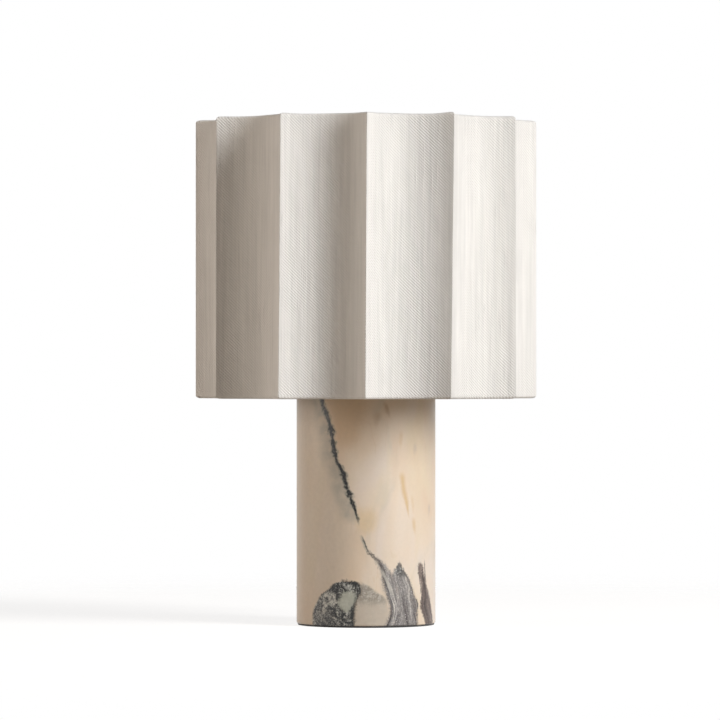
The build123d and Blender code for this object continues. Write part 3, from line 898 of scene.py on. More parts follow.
@dataclass(frozen=True)
class MarbleFinish(Finish):
    """Honed cream marble: clouds, ochre streaks, inky veins, and grey-violet flames at the foot."""

    radius: float = 62.0
    height: float = 232.0
    half_girth: float = 200.0
    cream: Colour = (0.83, 0.69, 0.545)
    peach: Colour = (0.78, 0.61, 0.45)
    blush: Colour = (0.84, 0.73, 0.63)
    straw: Colour = (0.79, 0.67, 0.48)
    mist: Colour = (0.60, 0.55, 0.47)
    ochre: Colour = (0.62, 0.43, 0.22)
    patches: tuple[Patch, ...] = ()
    veins: tuple[Vein, ...] = ()

    def dress(self, board: NodeBoard, shader: bpy.types.Node) -> None:
        """Ground, patches and veins, one over the other.

        Args:
            board: The material's board.
            shader: Its Principled BSDF.
        """
        mm = board.scaled(self.place(board), 1000.0, 1000.0, 1000.0)
        x, y, z = board.split(mm)
        across = board.times(board.calc("ARCTAN2", x, board.times(y, -1.0)), self.radius)
        colour = self.ground(board, mm)
        relief = board.noise(mm, 0.5, 3.0)
        for number, patch in enumerate(self.patches):
            mask = self.patch_mask(board, mm, across, z, patch)
            fill = self.patch_fill(board, mm, across, z, patch, float(number * 7))
            colour = board.blend(mask, colour, fill)
        for vein in self.veins:
            colour = self.lay_vein(board, mm, across, z, vein, colour)
        board.feed(shader.inputs["Base Color"], colour)
        gloss = board.noise(mm, 0.9, 3.0, 0.6)
        board.feed(shader.inputs["Roughness"], board.span(gloss, 0.3, 0.7, 0.32, 0.46))
        board.feed(shader.inputs["Normal"], board.bump(relief, 0.00002))
        shader.inputs["Specular IOR Level"].default_value = 0.40
        shader.inputs["Subsurface Weight"].default_value = 0.12
        shader.inputs["Subsurface Radius"].default_value = (0.006, 0.004, 0.0025)

    def ground(self, board: NodeBoard, mm: Socket) -> Socket:
        """The cream ground with its soft clouds and hair-thin ochre lines.

        Args:
            board: The material's board.
            mm: The place in millimetres.

        Returns:
            The colour's socket.
        """
        tall = board.scaled(mm, 1.0, 1.0, 0.45)
        colour = board.ramp(board.noise(tall, 0.026, 2.0, 0.5, 0.5), (0.30, self.peach), (0.52, self.cream),
                            (0.72, self.blush))
        straw = board.span(board.noise(board.scaled(mm, 1.0, 1.0, 0.3), 0.034, 2.0, 0.5, 0.8), 0.52, 0.74)
        colour = board.blend(board.times(straw, 0.55), colour, self.straw)
        mist = board.span(board.noise(tall, 0.021, 3.0, 0.55, 1.2), 0.56, 0.76)
        colour = board.blend(board.times(mist, 0.45), colour, self.mist)
        lines = board.noise(board.scaled(mm, 1.0, 1.0, 0.22), 0.030, 3.0, 0.5, 1.5)
        offset = board.calc("ABSOLUTE", board.minus(lines, 0.5))
        rare = board.span(board.noise(mm, 0.020), 0.52, 0.66)
        hair = board.times(board.span(offset, 0.002, 0.016, 1.0, 0.0), rare, 0.16)
        colour = board.blend(hair, colour, self.ochre)
        return board.toned(colour, board.scale_add(board.noise(mm, 0.35, 3.0, 0.6), 0.07, 0.905))

    def patch_mask(self, board: NodeBoard, mm: Socket, across: Socket, z: Socket, patch: Patch) -> Socket:
        """Where a patch lies.

        Args:
            board: The material's board.
            mm: The place in millimetres.
            across: Arc length from the front line.
            z: Height.
            patch: The patch.

        Returns:
            Its mask, from 0 to its strength.
        """
        left = board.track(z, patch.left, self.height, self.half_girth)
        right = board.track(z, patch.right, self.height, self.half_girth)
        comb = board.noise(board.pack(board.times(across, 0.9), board.times(z, 0.10), 3.0), 1.0, 3.0, 0.6)
        crumbs = board.noise(mm, 0.50, 5.0, 0.75)
        fray = board.minus(board.ease(0.6, comb, crumbs), 0.5)
        place = board.scale_add(fray, patch.ragged * 5, across)
        inside = board.times(
            board.span(place, board.minus(left, patch.soft), board.plus(left, patch.soft)),
            board.span(place, board.minus(right, patch.soft), board.plus(right, patch.soft), 1.0, 0.0),
        )
        level = board.scale_add(fray, -patch.ragged * 6, z)
        below = board.span(level, patch.top - patch.fade, patch.top + patch.fade, 1.0, 0.0)
        above = board.span(level, patch.foot - patch.fade, patch.foot + patch.fade)
        return board.times(inside, below, above, patch.strength)

    def patch_fill(self, board: NodeBoard, mm: Socket, across: Socket, z: Socket, patch: Patch,
                   seed: float) -> Socket:
        """The colours inside a patch.

        Args:
            board: The material's board.
            mm: The place in millimetres.
            across: Arc length from the front line.
            z: Height.
            patch: The patch.
            seed: Where in the noise it is read.

        Returns:
            The colour's socket.
        """
        if patch.filling is Filling.CALM:
            return board.toned(patch.colour, board.scale_add(board.noise(mm, 0.3, 3.0), 0.30, 0.85))
        if patch.filling is Filling.SPECKLED:
            blots = board.minus(board.noise(mm, 0.10, 2.0, 0.5, 1.5), 0.5)
            pepper = board.noise(mm, 0.62, 4.0, 0.85)
            value = board.scale_add(blots, 0.8, pepper)
            colour = board.ramp(value, (0.42, (0.006, 0.006, 0.006)), (0.475, (0.030, 0.030, 0.029)),
                                (0.53, (0.12, 0.12, 0.113)), (0.585, (0.27, 0.27, 0.25)), (0.66, (0.58, 0.57, 0.52)))
            if patch.rim:
                right = board.track(z, patch.right, self.height, self.half_girth)
                near = board.scale_add(pepper, 14.0, board.minus(right, across))
                near = board.minus(near, 7.0)
                colour = board.blend(board.span(near, patch.rim * 0.4, patch.rim * 1.2, 0.9, 0.0), colour,
                                     (0.018, 0.018, 0.017))
            return colour
        left = board.track(z, patch.left, self.height, self.half_girth)
        run = board.minus(across, left)
        broad = board.noise(board.pack(board.times(run, 0.24), board.times(z, 0.016), seed), 1.0, 3.0, 0.6, 0.6)
        fine = board.noise(board.pack(board.times(run, 0.9), board.times(z, 0.07), seed + 3.0), 1.0, 3.0, 0.7, 0.5)
        grit = board.noise(mm, 0.75, 4.0, 0.8)
        value = board.ease(0.30, board.ease(0.30, broad, fine), grit)
        colour = board.ramp(value, (0.40, (0.045, 0.037, 0.037)), (0.455, (0.125, 0.108, 0.103)),
                            (0.50, (0.21, 0.192, 0.183)), (0.55, (0.33, 0.307, 0.29)), (0.61, (0.66, 0.61, 0.55)))
        glints = board.times(board.span(board.cells(mm, 0.30), 0.09, 0.16, 1.0, 0.0), 0.6)
        return board.blend(1.0, board.blend(glints, colour, (0.80, 0.77, 0.73)), patch.tint, "MULTIPLY")

    def lay_vein(self, board: NodeBoard, mm: Socket, across: Socket, z: Socket, vein: Vein,
                 colour: Socket) -> Socket:
        """Lays a vein and its stain over a colour.

        Args:
            board: The material's board.
            mm: The place in millimetres.
            across: Arc length from the front line.
            z: Height.
            vein: The vein.
            colour: The colour under it.

        Returns:
            The new colour's socket.
        """
        low, high = vein.path[0][0], vein.path[-1][0]
        line = board.track(z, vein.path, self.height, self.half_girth, "VECTOR")
        wander = board.times(board.minus(board.noise(mm, 0.16, 3.0, 0.7), 0.5), vein.jag * 2)
        offset = board.plus(board.minus(across, line), wander)
        ends = board.span(z, low - 2.0, low + 10.0)
        if high < self.height - 5:
            ends = board.times(ends, board.span(z, high - 6.0, high + 1.0, 1.0, 0.0))
        swell = board.noise(board.pack(7.0, 0.0, z), 0.13, 2.0)
        wide = board.scale_add(board.minus(swell, 0.5), 3.5 * vein.clumps, 1.0)
        reach = min(24.0, (high - low) / 2)
        taper = board.span(z, low - 1.0, low + reach, 0.30, 1.0)
        wide = board.times(board.calc("MAXIMUM", wide, 0.4), taper, vein.width / 2)
        ragged = board.minus(board.noise(mm, 0.45, 3.0, 0.6), 0.5)
        share = board.calc("DIVIDE", board.calc("ABSOLUTE", offset), wide)
        share = board.scale_add(ragged, 4.0 * vein.clumps, share)
        grains = board.span(board.noise(mm, 0.70, 2.0, 0.6), 0.53, 0.66, 1.0, 1.0 - 0.78 * min(1.0, vein.clumps))
        ink = board.times(board.span(share, 1.0 - vein.crisp, 1.0 + vein.crisp, 1.0, 0.0), ends, grains,
                          vein.strength)
        if vein.stain:
            beside = board.span(offset, -vein.stain, -0.35 * vein.stain)
            wash = board.times(beside, board.span(offset, 0.0, 1.5, 1.0, 0.0), ends)
            wash = board.times(wash, board.span(board.noise(mm, 0.10, 3.0), 0.30, 0.70, 0.35, 0.85))
            colour = board.blend(wash, colour, (0.40, 0.37, 0.31))
            halo = board.times(board.span(share, 0.9, 2.4, 0.75, 0.0), ends)
            colour = board.blend(halo, colour, (0.20, 0.20, 0.17))
        return board.blend(ink, colour, vein.colour)


OCHRE: Colour = (0.66, 0.47, 0.25)
UMBER: Colour = (0.46, 0.30, 0.17)
MAUVE: Colour = (0.50, 0.42, 0.38)

FRONT_PATCHES = (
    # Painted shade: a broad grey-beige patch darkens the left side of the front, the side that faces away from the key
    # light.
    Patch(
        left=((0, -112), (120, -112), (232, -112)),
        right=((0, -30), (60, -14), (92, -10), (130, -20), (160, -31), (232, -54)),
        top=240.0, filling=Filling.CALM, colour=(0.58, 0.50, 0.405), soft=14.0, strength=0.55,
    ),
    Patch(
        left=((150, -26), (162, -29), (182, -33), (201, -41), (232, -53)),
        right=((150, -12), (170, -6), (200, 0), (232, 0)),
        top=240.0, foot=160.0, filling=Filling.CALM, colour=(0.62, 0.42, 0.24), soft=7.0, fade=9.0, strength=0.48,
    ),
    Patch(
        left=((78, -3), (94, -8), (110, -10)),
        right=((78, 2), (94, 9), (110, 4)),
        top=104.0, foot=84.0, filling=Filling.CALM, colour=(0.70, 0.53, 0.31), soft=5.0, fade=6.0, strength=0.55,
    ),
    Patch(
        left=((0, -14), (20, -10), (30, -7), (40, -8)),
        right=((0, 19), (20, 19), (28, 15), (32, 9), (38, 1), (42, -5)),
        top=38.0, filling=Filling.CALM, colour=(0.47, 0.43, 0.37), soft=2.5, strength=0.70,
    ),
    Patch(
        left=((16, -10), (24, -9), (30, -6), (40, -7)),
        right=((16, 17), (27, 16), (31, 9), (37, 2), (41, -4)),
        top=39.0, foot=22.0, filling=Filling.SPECKLED, soft=1.6, fade=5.0, strength=0.42,
    ),
    Patch(
        left=((0, 16), (9, 20), (18, 21), (27, 18), (39, 15), (51, 12.5), (61, 8)),
        right=((0, 37), (10, 35), (21, 32), (32, 29), (42, 26), (52, 20), (58, 15), (62, 10)),
        top=62.0, filling=Filling.STREAKED, soft=2.4, fade=2.0, ragged=3.0,
    ),
    Patch(
        left=((0, 35), (21, 30), (34, 28), (45, 24), (51, 26), (57, 30)),
        right=((0, 52), (10, 51), (21, 52), (28, 47), (37, 43.5), (45, 39), (51, 34), (57, 30.5)),
        top=58.0, filling=Filling.STREAKED, soft=2.0, ragged=3.0,
    ),
    Patch(
        left=((0, 64), (10, 59), (18, 55), (26, 56), (37, 55), (48, 52)),
        right=((5, 79), (16, 75), (27, 70), (38, 64), (46, 61), (57, 57.5)),
        top=56.0, filling=Filling.STREAKED, tint=(0.80, 0.67, 0.61), soft=1.3, ragged=3.0,
    ),
    Patch(
        left=((0, -53), (15, -52.5), (22, -48), (29, -42.5), (34, -34.5), (39, -29), (41, -21)),
        right=((0, -10), (17, -9.5), (24, -8), (28, -6), (34, -4), (39, -6), (43, -13)),
        top=41.5, filling=Filling.SPECKLED, soft=1.6, rim=5.5,
    ),
    Patch(
        left=((30, 22), (40, 17.5), (51, 13)),
        right=((30, 25.5), (40, 21), (51, 15.5)),
        top=51.0, foot=30.0, filling=Filling.CALM, colour=(0.62, 0.585, 0.52), ragged=1.0, fade=4.0, strength=0.6,
    ),
    Patch(
        left=((44, 29), (50, 27), (58, 30)),
        right=((44, 40), (50, 36), (58, 31.5)),
        top=57.5, foot=46.0, filling=Filling.SPECKLED, fade=2.5, ragged=2.4, strength=0.75,
    ),
    Patch(
        left=((10, -17), (13, -19), (17, -22.5), (22, -25), (28, -22.5), (34, -19)),
        right=((10, -16), (13, -16), (20, -11.6), (27, -9.4), (34, -11)),
        top=32.0, foot=14.0, filling=Filling.CALM, colour=(0.50, 0.505, 0.43), soft=1.9, fade=2.5, ragged=2.6,
        strength=0.88,
    ),
)

BACK_PATCHES = (
    Patch(
        left=((0, 96), (20, 101), (40, 104), (60, 112), (78, 121)),
        right=((0, 133), (20, 129), (45, 126), (65, 125), (82, 122.5)),
        top=82.0, filling=Filling.STREAKED,
    ),
    Patch(
        left=((0, 146), (15, 149), (30, 152), (44, 158)),
        right=((0, 179), (12, 176), (28, 168), (46, 160)),
        top=45.0, filling=Filling.SPECKLED, rim=3.0,
    ),
    Patch(
        left=((0, -142), (22, -138), (40, -132), (66, -119)),
        right=((0, -101), (14, -104), (30, -110), (50, -114), (70, -118)),
        top=70.0, filling=Filling.STREAKED,
    ),
    Patch(
        left=((0, -181), (12, -179), (26, -172), (34, -165)),
        right=((0, -150), (14, -152), (26, -157), (36, -163)),
        top=35.0, filling=Filling.STREAKED,
    ),
)

FRONT_VEINS = (
    Vein(path=((80, 48.5), (88, 47), (98, 46)), width=3.6, colour=OCHRE, jag=0.4, clumps=0.15, strength=0.65,
         crisp=0.95),
    Vein(path=((98, 46), (108, 45.5), (118, 44)), width=3.0, colour=OCHRE, jag=0.4, clumps=0.15, strength=0.35,
         crisp=0.95),
    Vein(path=((96, 41), (112, 38), (122, 35), (138, 33)), width=4.4, colour=OCHRE, jag=0.4, clumps=0.15,
         strength=0.85, crisp=0.95),
    Vein(path=((30, 64), (44, 62.5), (60, 61)), width=1.6, colour=(0.12, 0.085, 0.07), jag=0.8, clumps=0.5,
         strength=0.7),
    Vein(path=((156, 32), (164, 32), (175, 33)), width=3.4, colour=OCHRE, jag=0.4, clumps=0.15, strength=0.45,
         crisp=0.95),
    Vein(path=((184, 22), (190, 19.5), (200, 16.5)), width=3.4, colour=UMBER, jag=0.6, clumps=0.3, strength=0.60,
         crisp=0.9),
    Vein(path=((176, 9), (187, 10), (192, 11)), width=5.5, colour=UMBER, jag=0.8, clumps=0.3, strength=0.42,
         crisp=0.95),
    Vein(path=((150, 47), (156, 48), (164, 48)), width=4.0, colour=MAUVE, jag=0.8, clumps=0.3, strength=0.40,
         crisp=0.95),
    Vein(path=((96, 69), (103, 70), (110, 70)), width=4.5, colour=MAUVE, jag=0.8, clumps=0.3, strength=0.45,
         crisp=0.95),
    Vein(path=((63, 4.5), (70, 0.5), (78, -2.5), (82, -4)), width=1.1, jag=0.8, clumps=0.8, stain=3.0,
         strength=0.6),
    Vein(path=((54, 13), (60, 8.5), (65, 4), (70, 1)), width=3.4, jag=1.0, clumps=0.9, strength=0.75),
    Vein(path=((0, 27), (20, 24), (32, 20.5), (47, 15)), width=0.9, jag=0.8, clumps=0.6, strength=0.6),
    Vein(path=((0, 52), (12, 51), (21, 51.5), (30, 45.5), (42, 40.5), (50, 34), (57, 30.5)), width=1.0,
         jag=0.8, clumps=0.7, strength=0.6),
    Vein(
        path=((91, -6), (107, -10.5), (116, -14), (124, -17.5), (131, -19), (137, -20.5), (144, -25), (151, -28),
              (161, -30), (173, -32), (182, -34.5), (189, -37.5), (193, -39.5), (201, -42), (231.5, -54)),
        width=3.5, colour=(0.006, 0.006, 0.007), jag=1.4, clumps=0.8, stain=21.0,
    ),
)

BACK_VEINS = (
    Vein(path=((84, 122), (104, 131), (131, 134), (158, 147), (190, 151), (214, 163), (231.5, 166)), width=2.2,
         jag=2.4, clumps=1.2, stain=8.0),
    Vein(path=((72, -120), (95, -112), (118, -116), (141, -106), (170, -110), (193, -104)), width=1.6, jag=2.6,
         clumps=0.8, stain=7.0, strength=0.9),
    Vein(path=((118, 81), (141, 88), (170, 90), (196, 99)), width=1.8, colour=OCHRE, jag=2.0, clumps=0.6,
         strength=0.5, crisp=0.8),
    Vein(path=((92, -164), (120, -158), (155, -160), (186, -149)), width=1.8, colour=OCHRE, jag=2.0, clumps=0.6,
         strength=0.5, crisp=0.8),
)


@dataclass(frozen=True)
class Palette:
    """The lamp's finishes."""

    cloth: Finish = ClothFinish("off_white_twill")
    lining: Finish = SheetFinish("lining_sheet")
    enamel: Finish = EnamelFinish("white_powder_coat")
    marble: Finish = MarbleFinish("cream_marble", patches=FRONT_PATCHES + BACK_PATCHES, veins=BACK_VEINS + FRONT_VEINS)
    felt: Finish = FibreFinish("black_felt")
    card: Finish = FibreFinish("insulating_card", dark=(0.20, 0.13, 0.08), pale=(0.36, 0.26, 0.17),
                               lint=(0.50, 0.42, 0.32), depth=0.00006, sheen=0.05)
    brass: Finish = MetalFinish("satin_brass", bright=(0.72, 0.53, 0.25), dull=(0.62, 0.44, 0.20),
                                tarnish=(0.33, 0.21, 0.10))
    brass_wire: Finish = MetalFinish("drawn_brass", bright=(0.70, 0.52, 0.25), dull=(0.60, 0.43, 0.20),
                                     tarnish=(0.33, 0.21, 0.10), mark=MetalMark.DRAWN)
    zinc: Finish = MetalFinish("zinc_plate", bright=(0.60, 0.61, 0.62), dull=(0.50, 0.50, 0.50),
                               tarnish=(0.36, 0.35, 0.32), smooth=0.28, rough=0.48)
    aluminium: Finish = MetalFinish("spun_aluminium", bright=(0.80, 0.80, 0.79), dull=(0.70, 0.70, 0.69),
                                    tarnish=(0.45, 0.44, 0.42), smooth=0.25, rough=0.40, stains=0.2)
    black_plastic: Finish = PlasticFinish("black_plastic", rough=0.60, smooth=0.42)
    phenolic: Finish = PlasticFinish("dark_phenolic", colour=(0.030, 0.024, 0.020), rubbed=(0.060, 0.047, 0.038),
                                     smooth=0.22, rough=0.36)
    nylon: Finish = PlasticFinish("natural_nylon", colour=(0.76, 0.74, 0.68), rubbed=(0.68, 0.66, 0.60))
    bulb_plastic: Finish = PlasticFinish("white_plastic", colour=(0.86, 0.86, 0.84), rubbed=(0.80, 0.79, 0.76),
                                         smooth=0.34, rough=0.50, dusty=0.25)
    black_lead: Finish = PlasticFinish("black_insulation", colour=(0.022, 0.022, 0.022), rubbed=(0.05, 0.05, 0.05))
    white_lead: Finish = PlasticFinish("white_insulation", colour=(0.78, 0.77, 0.72), rubbed=(0.70, 0.68, 0.62))
    vitrite: Finish = PlasticFinish("black_vitrite", colour=(0.018, 0.018, 0.022), rubbed=(0.04, 0.04, 0.045),
                                    smooth=0.12, rough=0.22)
    opal: Finish = OpalFinish("opal_diffuser")
    green_board: Finish = BoardFinish("green_board")
    white_board: Finish = BoardFinish("white_board", lacquer=(0.80, 0.79, 0.75), track=(0.74, 0.72, 0.66),
                                      pad=(0.82, 0.66, 0.25), pitch=3.1)


PALETTE = Palette()


# ======================================================================================
# Mesh tools
# ======================================================================================


@dataclass(frozen=True)
class Relief:
    """Ridges on a turned surface: a screw thread where pitch is set, upright reeds where count is."""

    low: float
    high: float
    depth: float
    beyond: float
    pitch: float = 0.0
    count: int = 0
    ease: float = 1.0

    def cut(self, angle: float, radius: float, height: float) -> float:
        """How far a point of the surface moves towards the axis.

        Args:
            angle: Radians round the axis.
            radius: The plain surface's radius.
            height: Its height.

        Returns:
            Millimetres.
        """
        if radius < self.beyond or not self.low < height < self.high:
            return 0.0
        turns = (height - self.low) / self.pitch - angle / FULL_TURN if self.pitch else self.count * angle / FULL_TURN
        wave = 0.5 - 0.5 * math.cos(FULL_TURN * turns)
        fade = min(1.0, (height - self.low) / self.ease, (self.high - height) / self.ease)
        return self.depth * wave * fade


class PieceMaker:
    """Turns rows of points into pieces and dresses them."""

    @staticmethod
    def publish(name: str, shape: bmesh.types.BMesh, sharp_angle: float = 35.0) -> bpy.types.Object:
        """Makes a smooth-shaded object from a bmesh in millimetres.

        Args:
            name: The object's name.
            shape: The bmesh, which is freed.
            sharp_angle: Degrees between faces past which an edge stays crisp.

        Returns:
            The new object, linked to the scene.
        """
        bmesh.ops.recalc_face_normals(shape, faces=shape.faces)
        bmesh.ops.scale(shape, vec=(SCALE,) * 3, verts=shape.verts)
        mesh = bpy.data.meshes.new(name)
        shape.to_mesh(mesh)
        shape.free()
        mesh.shade_smooth()
        mesh.set_sharp_from_angle(angle=math.radians(sharp_angle))
        made = bpy.data.objects.new(name, mesh)
        bpy.context.scene.collection.objects.link(made)
        return made

    @staticmethod
    def place(piece: bpy.types.Object, body: Body, slot: str, finish: Finish, *nodes: str) -> bpy.types.Object:
        """Gives a piece its finish and body, and hides the solids that it stands for.

        Args:
            piece: The piece.
            body: The body that it rides on.
            slot: Not used.
            finish: Its finish.
            nodes: The solids that it replaces.

        Returns:
            The piece.
        """
        piece.data.materials.append(finish.material())
        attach(piece, body.value)
        if nodes:
            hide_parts(*nodes)
        return piece

    @staticmethod
    def dress_solids(dressing: dict[str, Finish]) -> list[str]:
        """Gives solids of the frame their finishes.

        Args:
            dressing: Finishes by the solids' names.

        Returns:
            The solids' names.
        """
        for node, finish in dressing.items():
            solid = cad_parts[node]
            if not solid.data.materials:
                solid.data.materials.append(finish.material())
            for slot in solid.material_slots:
                slot.material = finish.material()
        return list(dressing)

    @staticmethod
    def rise(radius: float, low: float, high: float, count: int) -> list[Point2]:
        """Evenly spaced points up a straight wall."""
        return [(radius, low + (high - low) * k / count) for k in range(count + 1)]

    @staticmethod
    def turned(outline: Sequence[Point2], segments: int = 96, reliefs: Sequence[Relief] = ()) -> bmesh.types.BMesh:
        """Turns a closed outline about the Z axis.

        Args:
            outline: Radius and height pairs round the outline. A radius of zero makes a pole.
            segments: Steps round the axis.
            reliefs: Threads or reeds that are cut into it.

        Returns:
            The closed bmesh.
        """
        shape = bmesh.new()
        rings: list[list[bmesh.types.BMVert]] = []
        for radius, height in outline:
            if radius < 1e-6:
                rings.append([shape.verts.new((0.0, 0.0, height))])
                continue
            row = []
            for k in range(segments):
                angle = FULL_TURN * k / segments
                reach = radius - sum(relief.cut(angle, radius, height) for relief in reliefs)
                row.append(shape.verts.new((reach * math.cos(angle), reach * math.sin(angle), height)))
            rings.append(row)
        for lower, upper in zip(rings, rings[1:] + rings[:1]):
            PieceMaker.bridge(shape, lower, upper)
        return shape

    @staticmethod
    def bridge(shape: bmesh.types.BMesh, lower: list, upper: list) -> None:
        """Fills between two rings, either of which may be a single pole.

        Args:
            shape: The bmesh.
            lower: One ring's points.
            upper: The other ring's points.
        """
        count = max(len(lower), len(upper))
        if count == 1:
            return
        for k in range(count):
            n = (k + 1) % count
            if len(lower) == 1:
                corners = (lower[0], upper[n], upper[k])
            elif len(upper) == 1:
                corners = (lower[k], lower[n], upper[0])
            else:
                corners = (lower[k], lower[n], upper[n], upper[k])
            shape.faces.new(corners)


class SubAssembly(ABC):
    """A group of pieces that are built together."""

    @abstractmethod
    def build(self) -> list[str]:
        """Builds and dresses the pieces.

        Returns:
            Their names.
        """


# ======================================================================================
# Shade
# ======================================================================================


@dataclass(frozen=True)
class ShadePlan:
    """The shade in plan: hollow panels that meet in upright ridges, with a maker's small unevenness."""

    panels: int = 12
    ridge_radius: float = 152.5
    curve_radius: float = 56.0
    bottom: float = 202.0
    top: float = 450.0
    first_ridge: float = -math.pi / 2
    fold_softness: float = 0.9
    top_drift: tuple[float, ...] = (0.27, 0.23, -0.30, 0.20, -0.25, 0.30, 0.10, -0.30, 0.20, -0.15, 0.25, 0.80)
    bottom_drift: tuple[float, ...] = (-0.20, -1.00, 0.10, -0.20, 0.25, -0.10, 0.30, 0.15, -0.30, 0.20, -0.10, 0.0)
    corner_lift: tuple[float, ...] = (0.3, 1.1, 0.2, 0.0, 0.4, 0.0, 0.3, 0.5, 0.0, 0.3, 0.2, 0.5)

    @property
    def half_angle(self) -> float:
        """Half of the angle that one panel takes at the axis."""
        return math.pi / self.panels

    @property
    def axis_distance(self) -> float:
        """From the lamp's axis to the line that a panel curves about."""
        chord = self.ridge_radius * math.sin(self.half_angle)
        return self.ridge_radius * math.cos(self.half_angle) + math.sqrt(self.curve_radius**2 - chord**2)

    @property
    def girth(self) -> float:
        """The cloth's length round its outer face."""
        return self.panels * self.panel_width

    @property
    def panel_width(self) -> float:
        """The cloth's length across one panel."""
        return 2 * self.curve_radius * self.half_sweep(0.0)

    def ridge_reach(self, depth: float) -> float:
        """How far from the lamp's axis two panels meet, at a depth behind the cloth's face."""
        across = self.axis_distance * math.sin(self.half_angle)
        along = self.axis_distance * math.cos(self.half_angle)
        return along - math.sqrt((self.curve_radius + depth) ** 2 - across**2)

    def half_sweep(self, depth: float) -> float:
        """Half of the angle that a panel turns about its own line, at a depth."""
        return math.asin(self.ridge_reach(depth) * math.sin(self.half_angle) / (self.curve_radius + depth))

    def on_panel(self, panel: int, part: float, depth: float) -> Vector:
        """A point of a panel in plan.

        Args:
            panel: Which panel, counted from the front ridge.
            part: -1 at its first ridge to 1 at its second.
            depth: Millimetres behind the cloth's face.

        Returns:
            The point, at height zero.
        """
        angle = part * self.half_sweep(depth)
        reach = self.curve_radius + depth
        x = self.axis_distance - reach * math.cos(angle)
        y = reach * math.sin(angle)
        middle = self.first_ridge + self.half_angle * (2 * panel + 1)
        return Vector((x * math.cos(middle) - y * math.sin(middle), x * math.sin(middle) + y * math.cos(middle), 0.0))

    def outline(self, depth: float, steps: int) -> list[tuple[Vector, float]]:
        """The closed outline at a depth, with each fold slightly rounded.

        Args:
            depth: Millimetres behind the cloth's face.
            steps: Divisions of one panel.

        Returns:
            Points, each with its distance along the cloth's face.
        """
        width = self.panel_width
        ease = 2 * self.fold_softness / width
        row: list[tuple[Vector, float]] = []
        for panel in range(self.panels):
            start = self.on_panel(panel - 1, 1 - ease, depth)
            end = self.on_panel(panel, -1 + ease, depth)
            apex = self.on_panel(panel, -1.0, depth)
            for k in range(5):
                t = k / 4
                point = start * (1 - t) ** 2 + apex * 2 * t * (1 - t) + end * t**2
                row.append((point, width * panel + self.fold_softness * (2 * t - 1)))
            for k in range(1, steps):
                part = -1 + ease + (2 - 2 * ease) * k / steps
                row.append((self.on_panel(panel, part, depth), width * (panel + (part + 1) / 2)))
        return row

    def drift(self, point: Vector) -> Vector:
        """Moves a point by the shade's unevenness: drifting ridges, slack panels and lifted corners.

        Args:
            point: A point of the even shade.

        Returns:
            The same point of the uneven shade.
        """
        turn = math.atan2(point.y, point.x)
        share = (point.z - self.bottom) / (self.top - self.bottom)
        spot = ((turn - self.first_ridge) / FULL_TURN * self.panels) % self.panels
        index, part = int(spot), spot % 1
        following = (index + 1) % self.panels
        ease = part * part * (3 - 2 * part)
        low = self.bottom_drift[index] * (1 - ease) + self.bottom_drift[following] * ease
        high = self.top_drift[index] * (1 - ease) + self.top_drift[following] * ease
        shift = turn + math.radians(low * (1 - share) + high * share)
        around = Vector((math.cos(turn), math.sin(turn), 0.0))
        slack = noise.noise(around * 2.1 + Vector((0.0, 0.0, point.z * 0.007))) * 0.8 * math.sin(math.pi * part)
        near, far = math.exp(-((part * 11) ** 2)), math.exp(-(((1 - part) * 11) ** 2))
        corner = self.corner_lift[index] * near + self.corner_lift[following] * far
        lift = max(share, 0.0) ** 9 * (corner + 0.5 * noise.noise(around * 3.0))
        reach = math.hypot(point.x, point.y) + slack
        return Vector((reach * math.cos(shift), reach * math.sin(shift), point.z + lift))


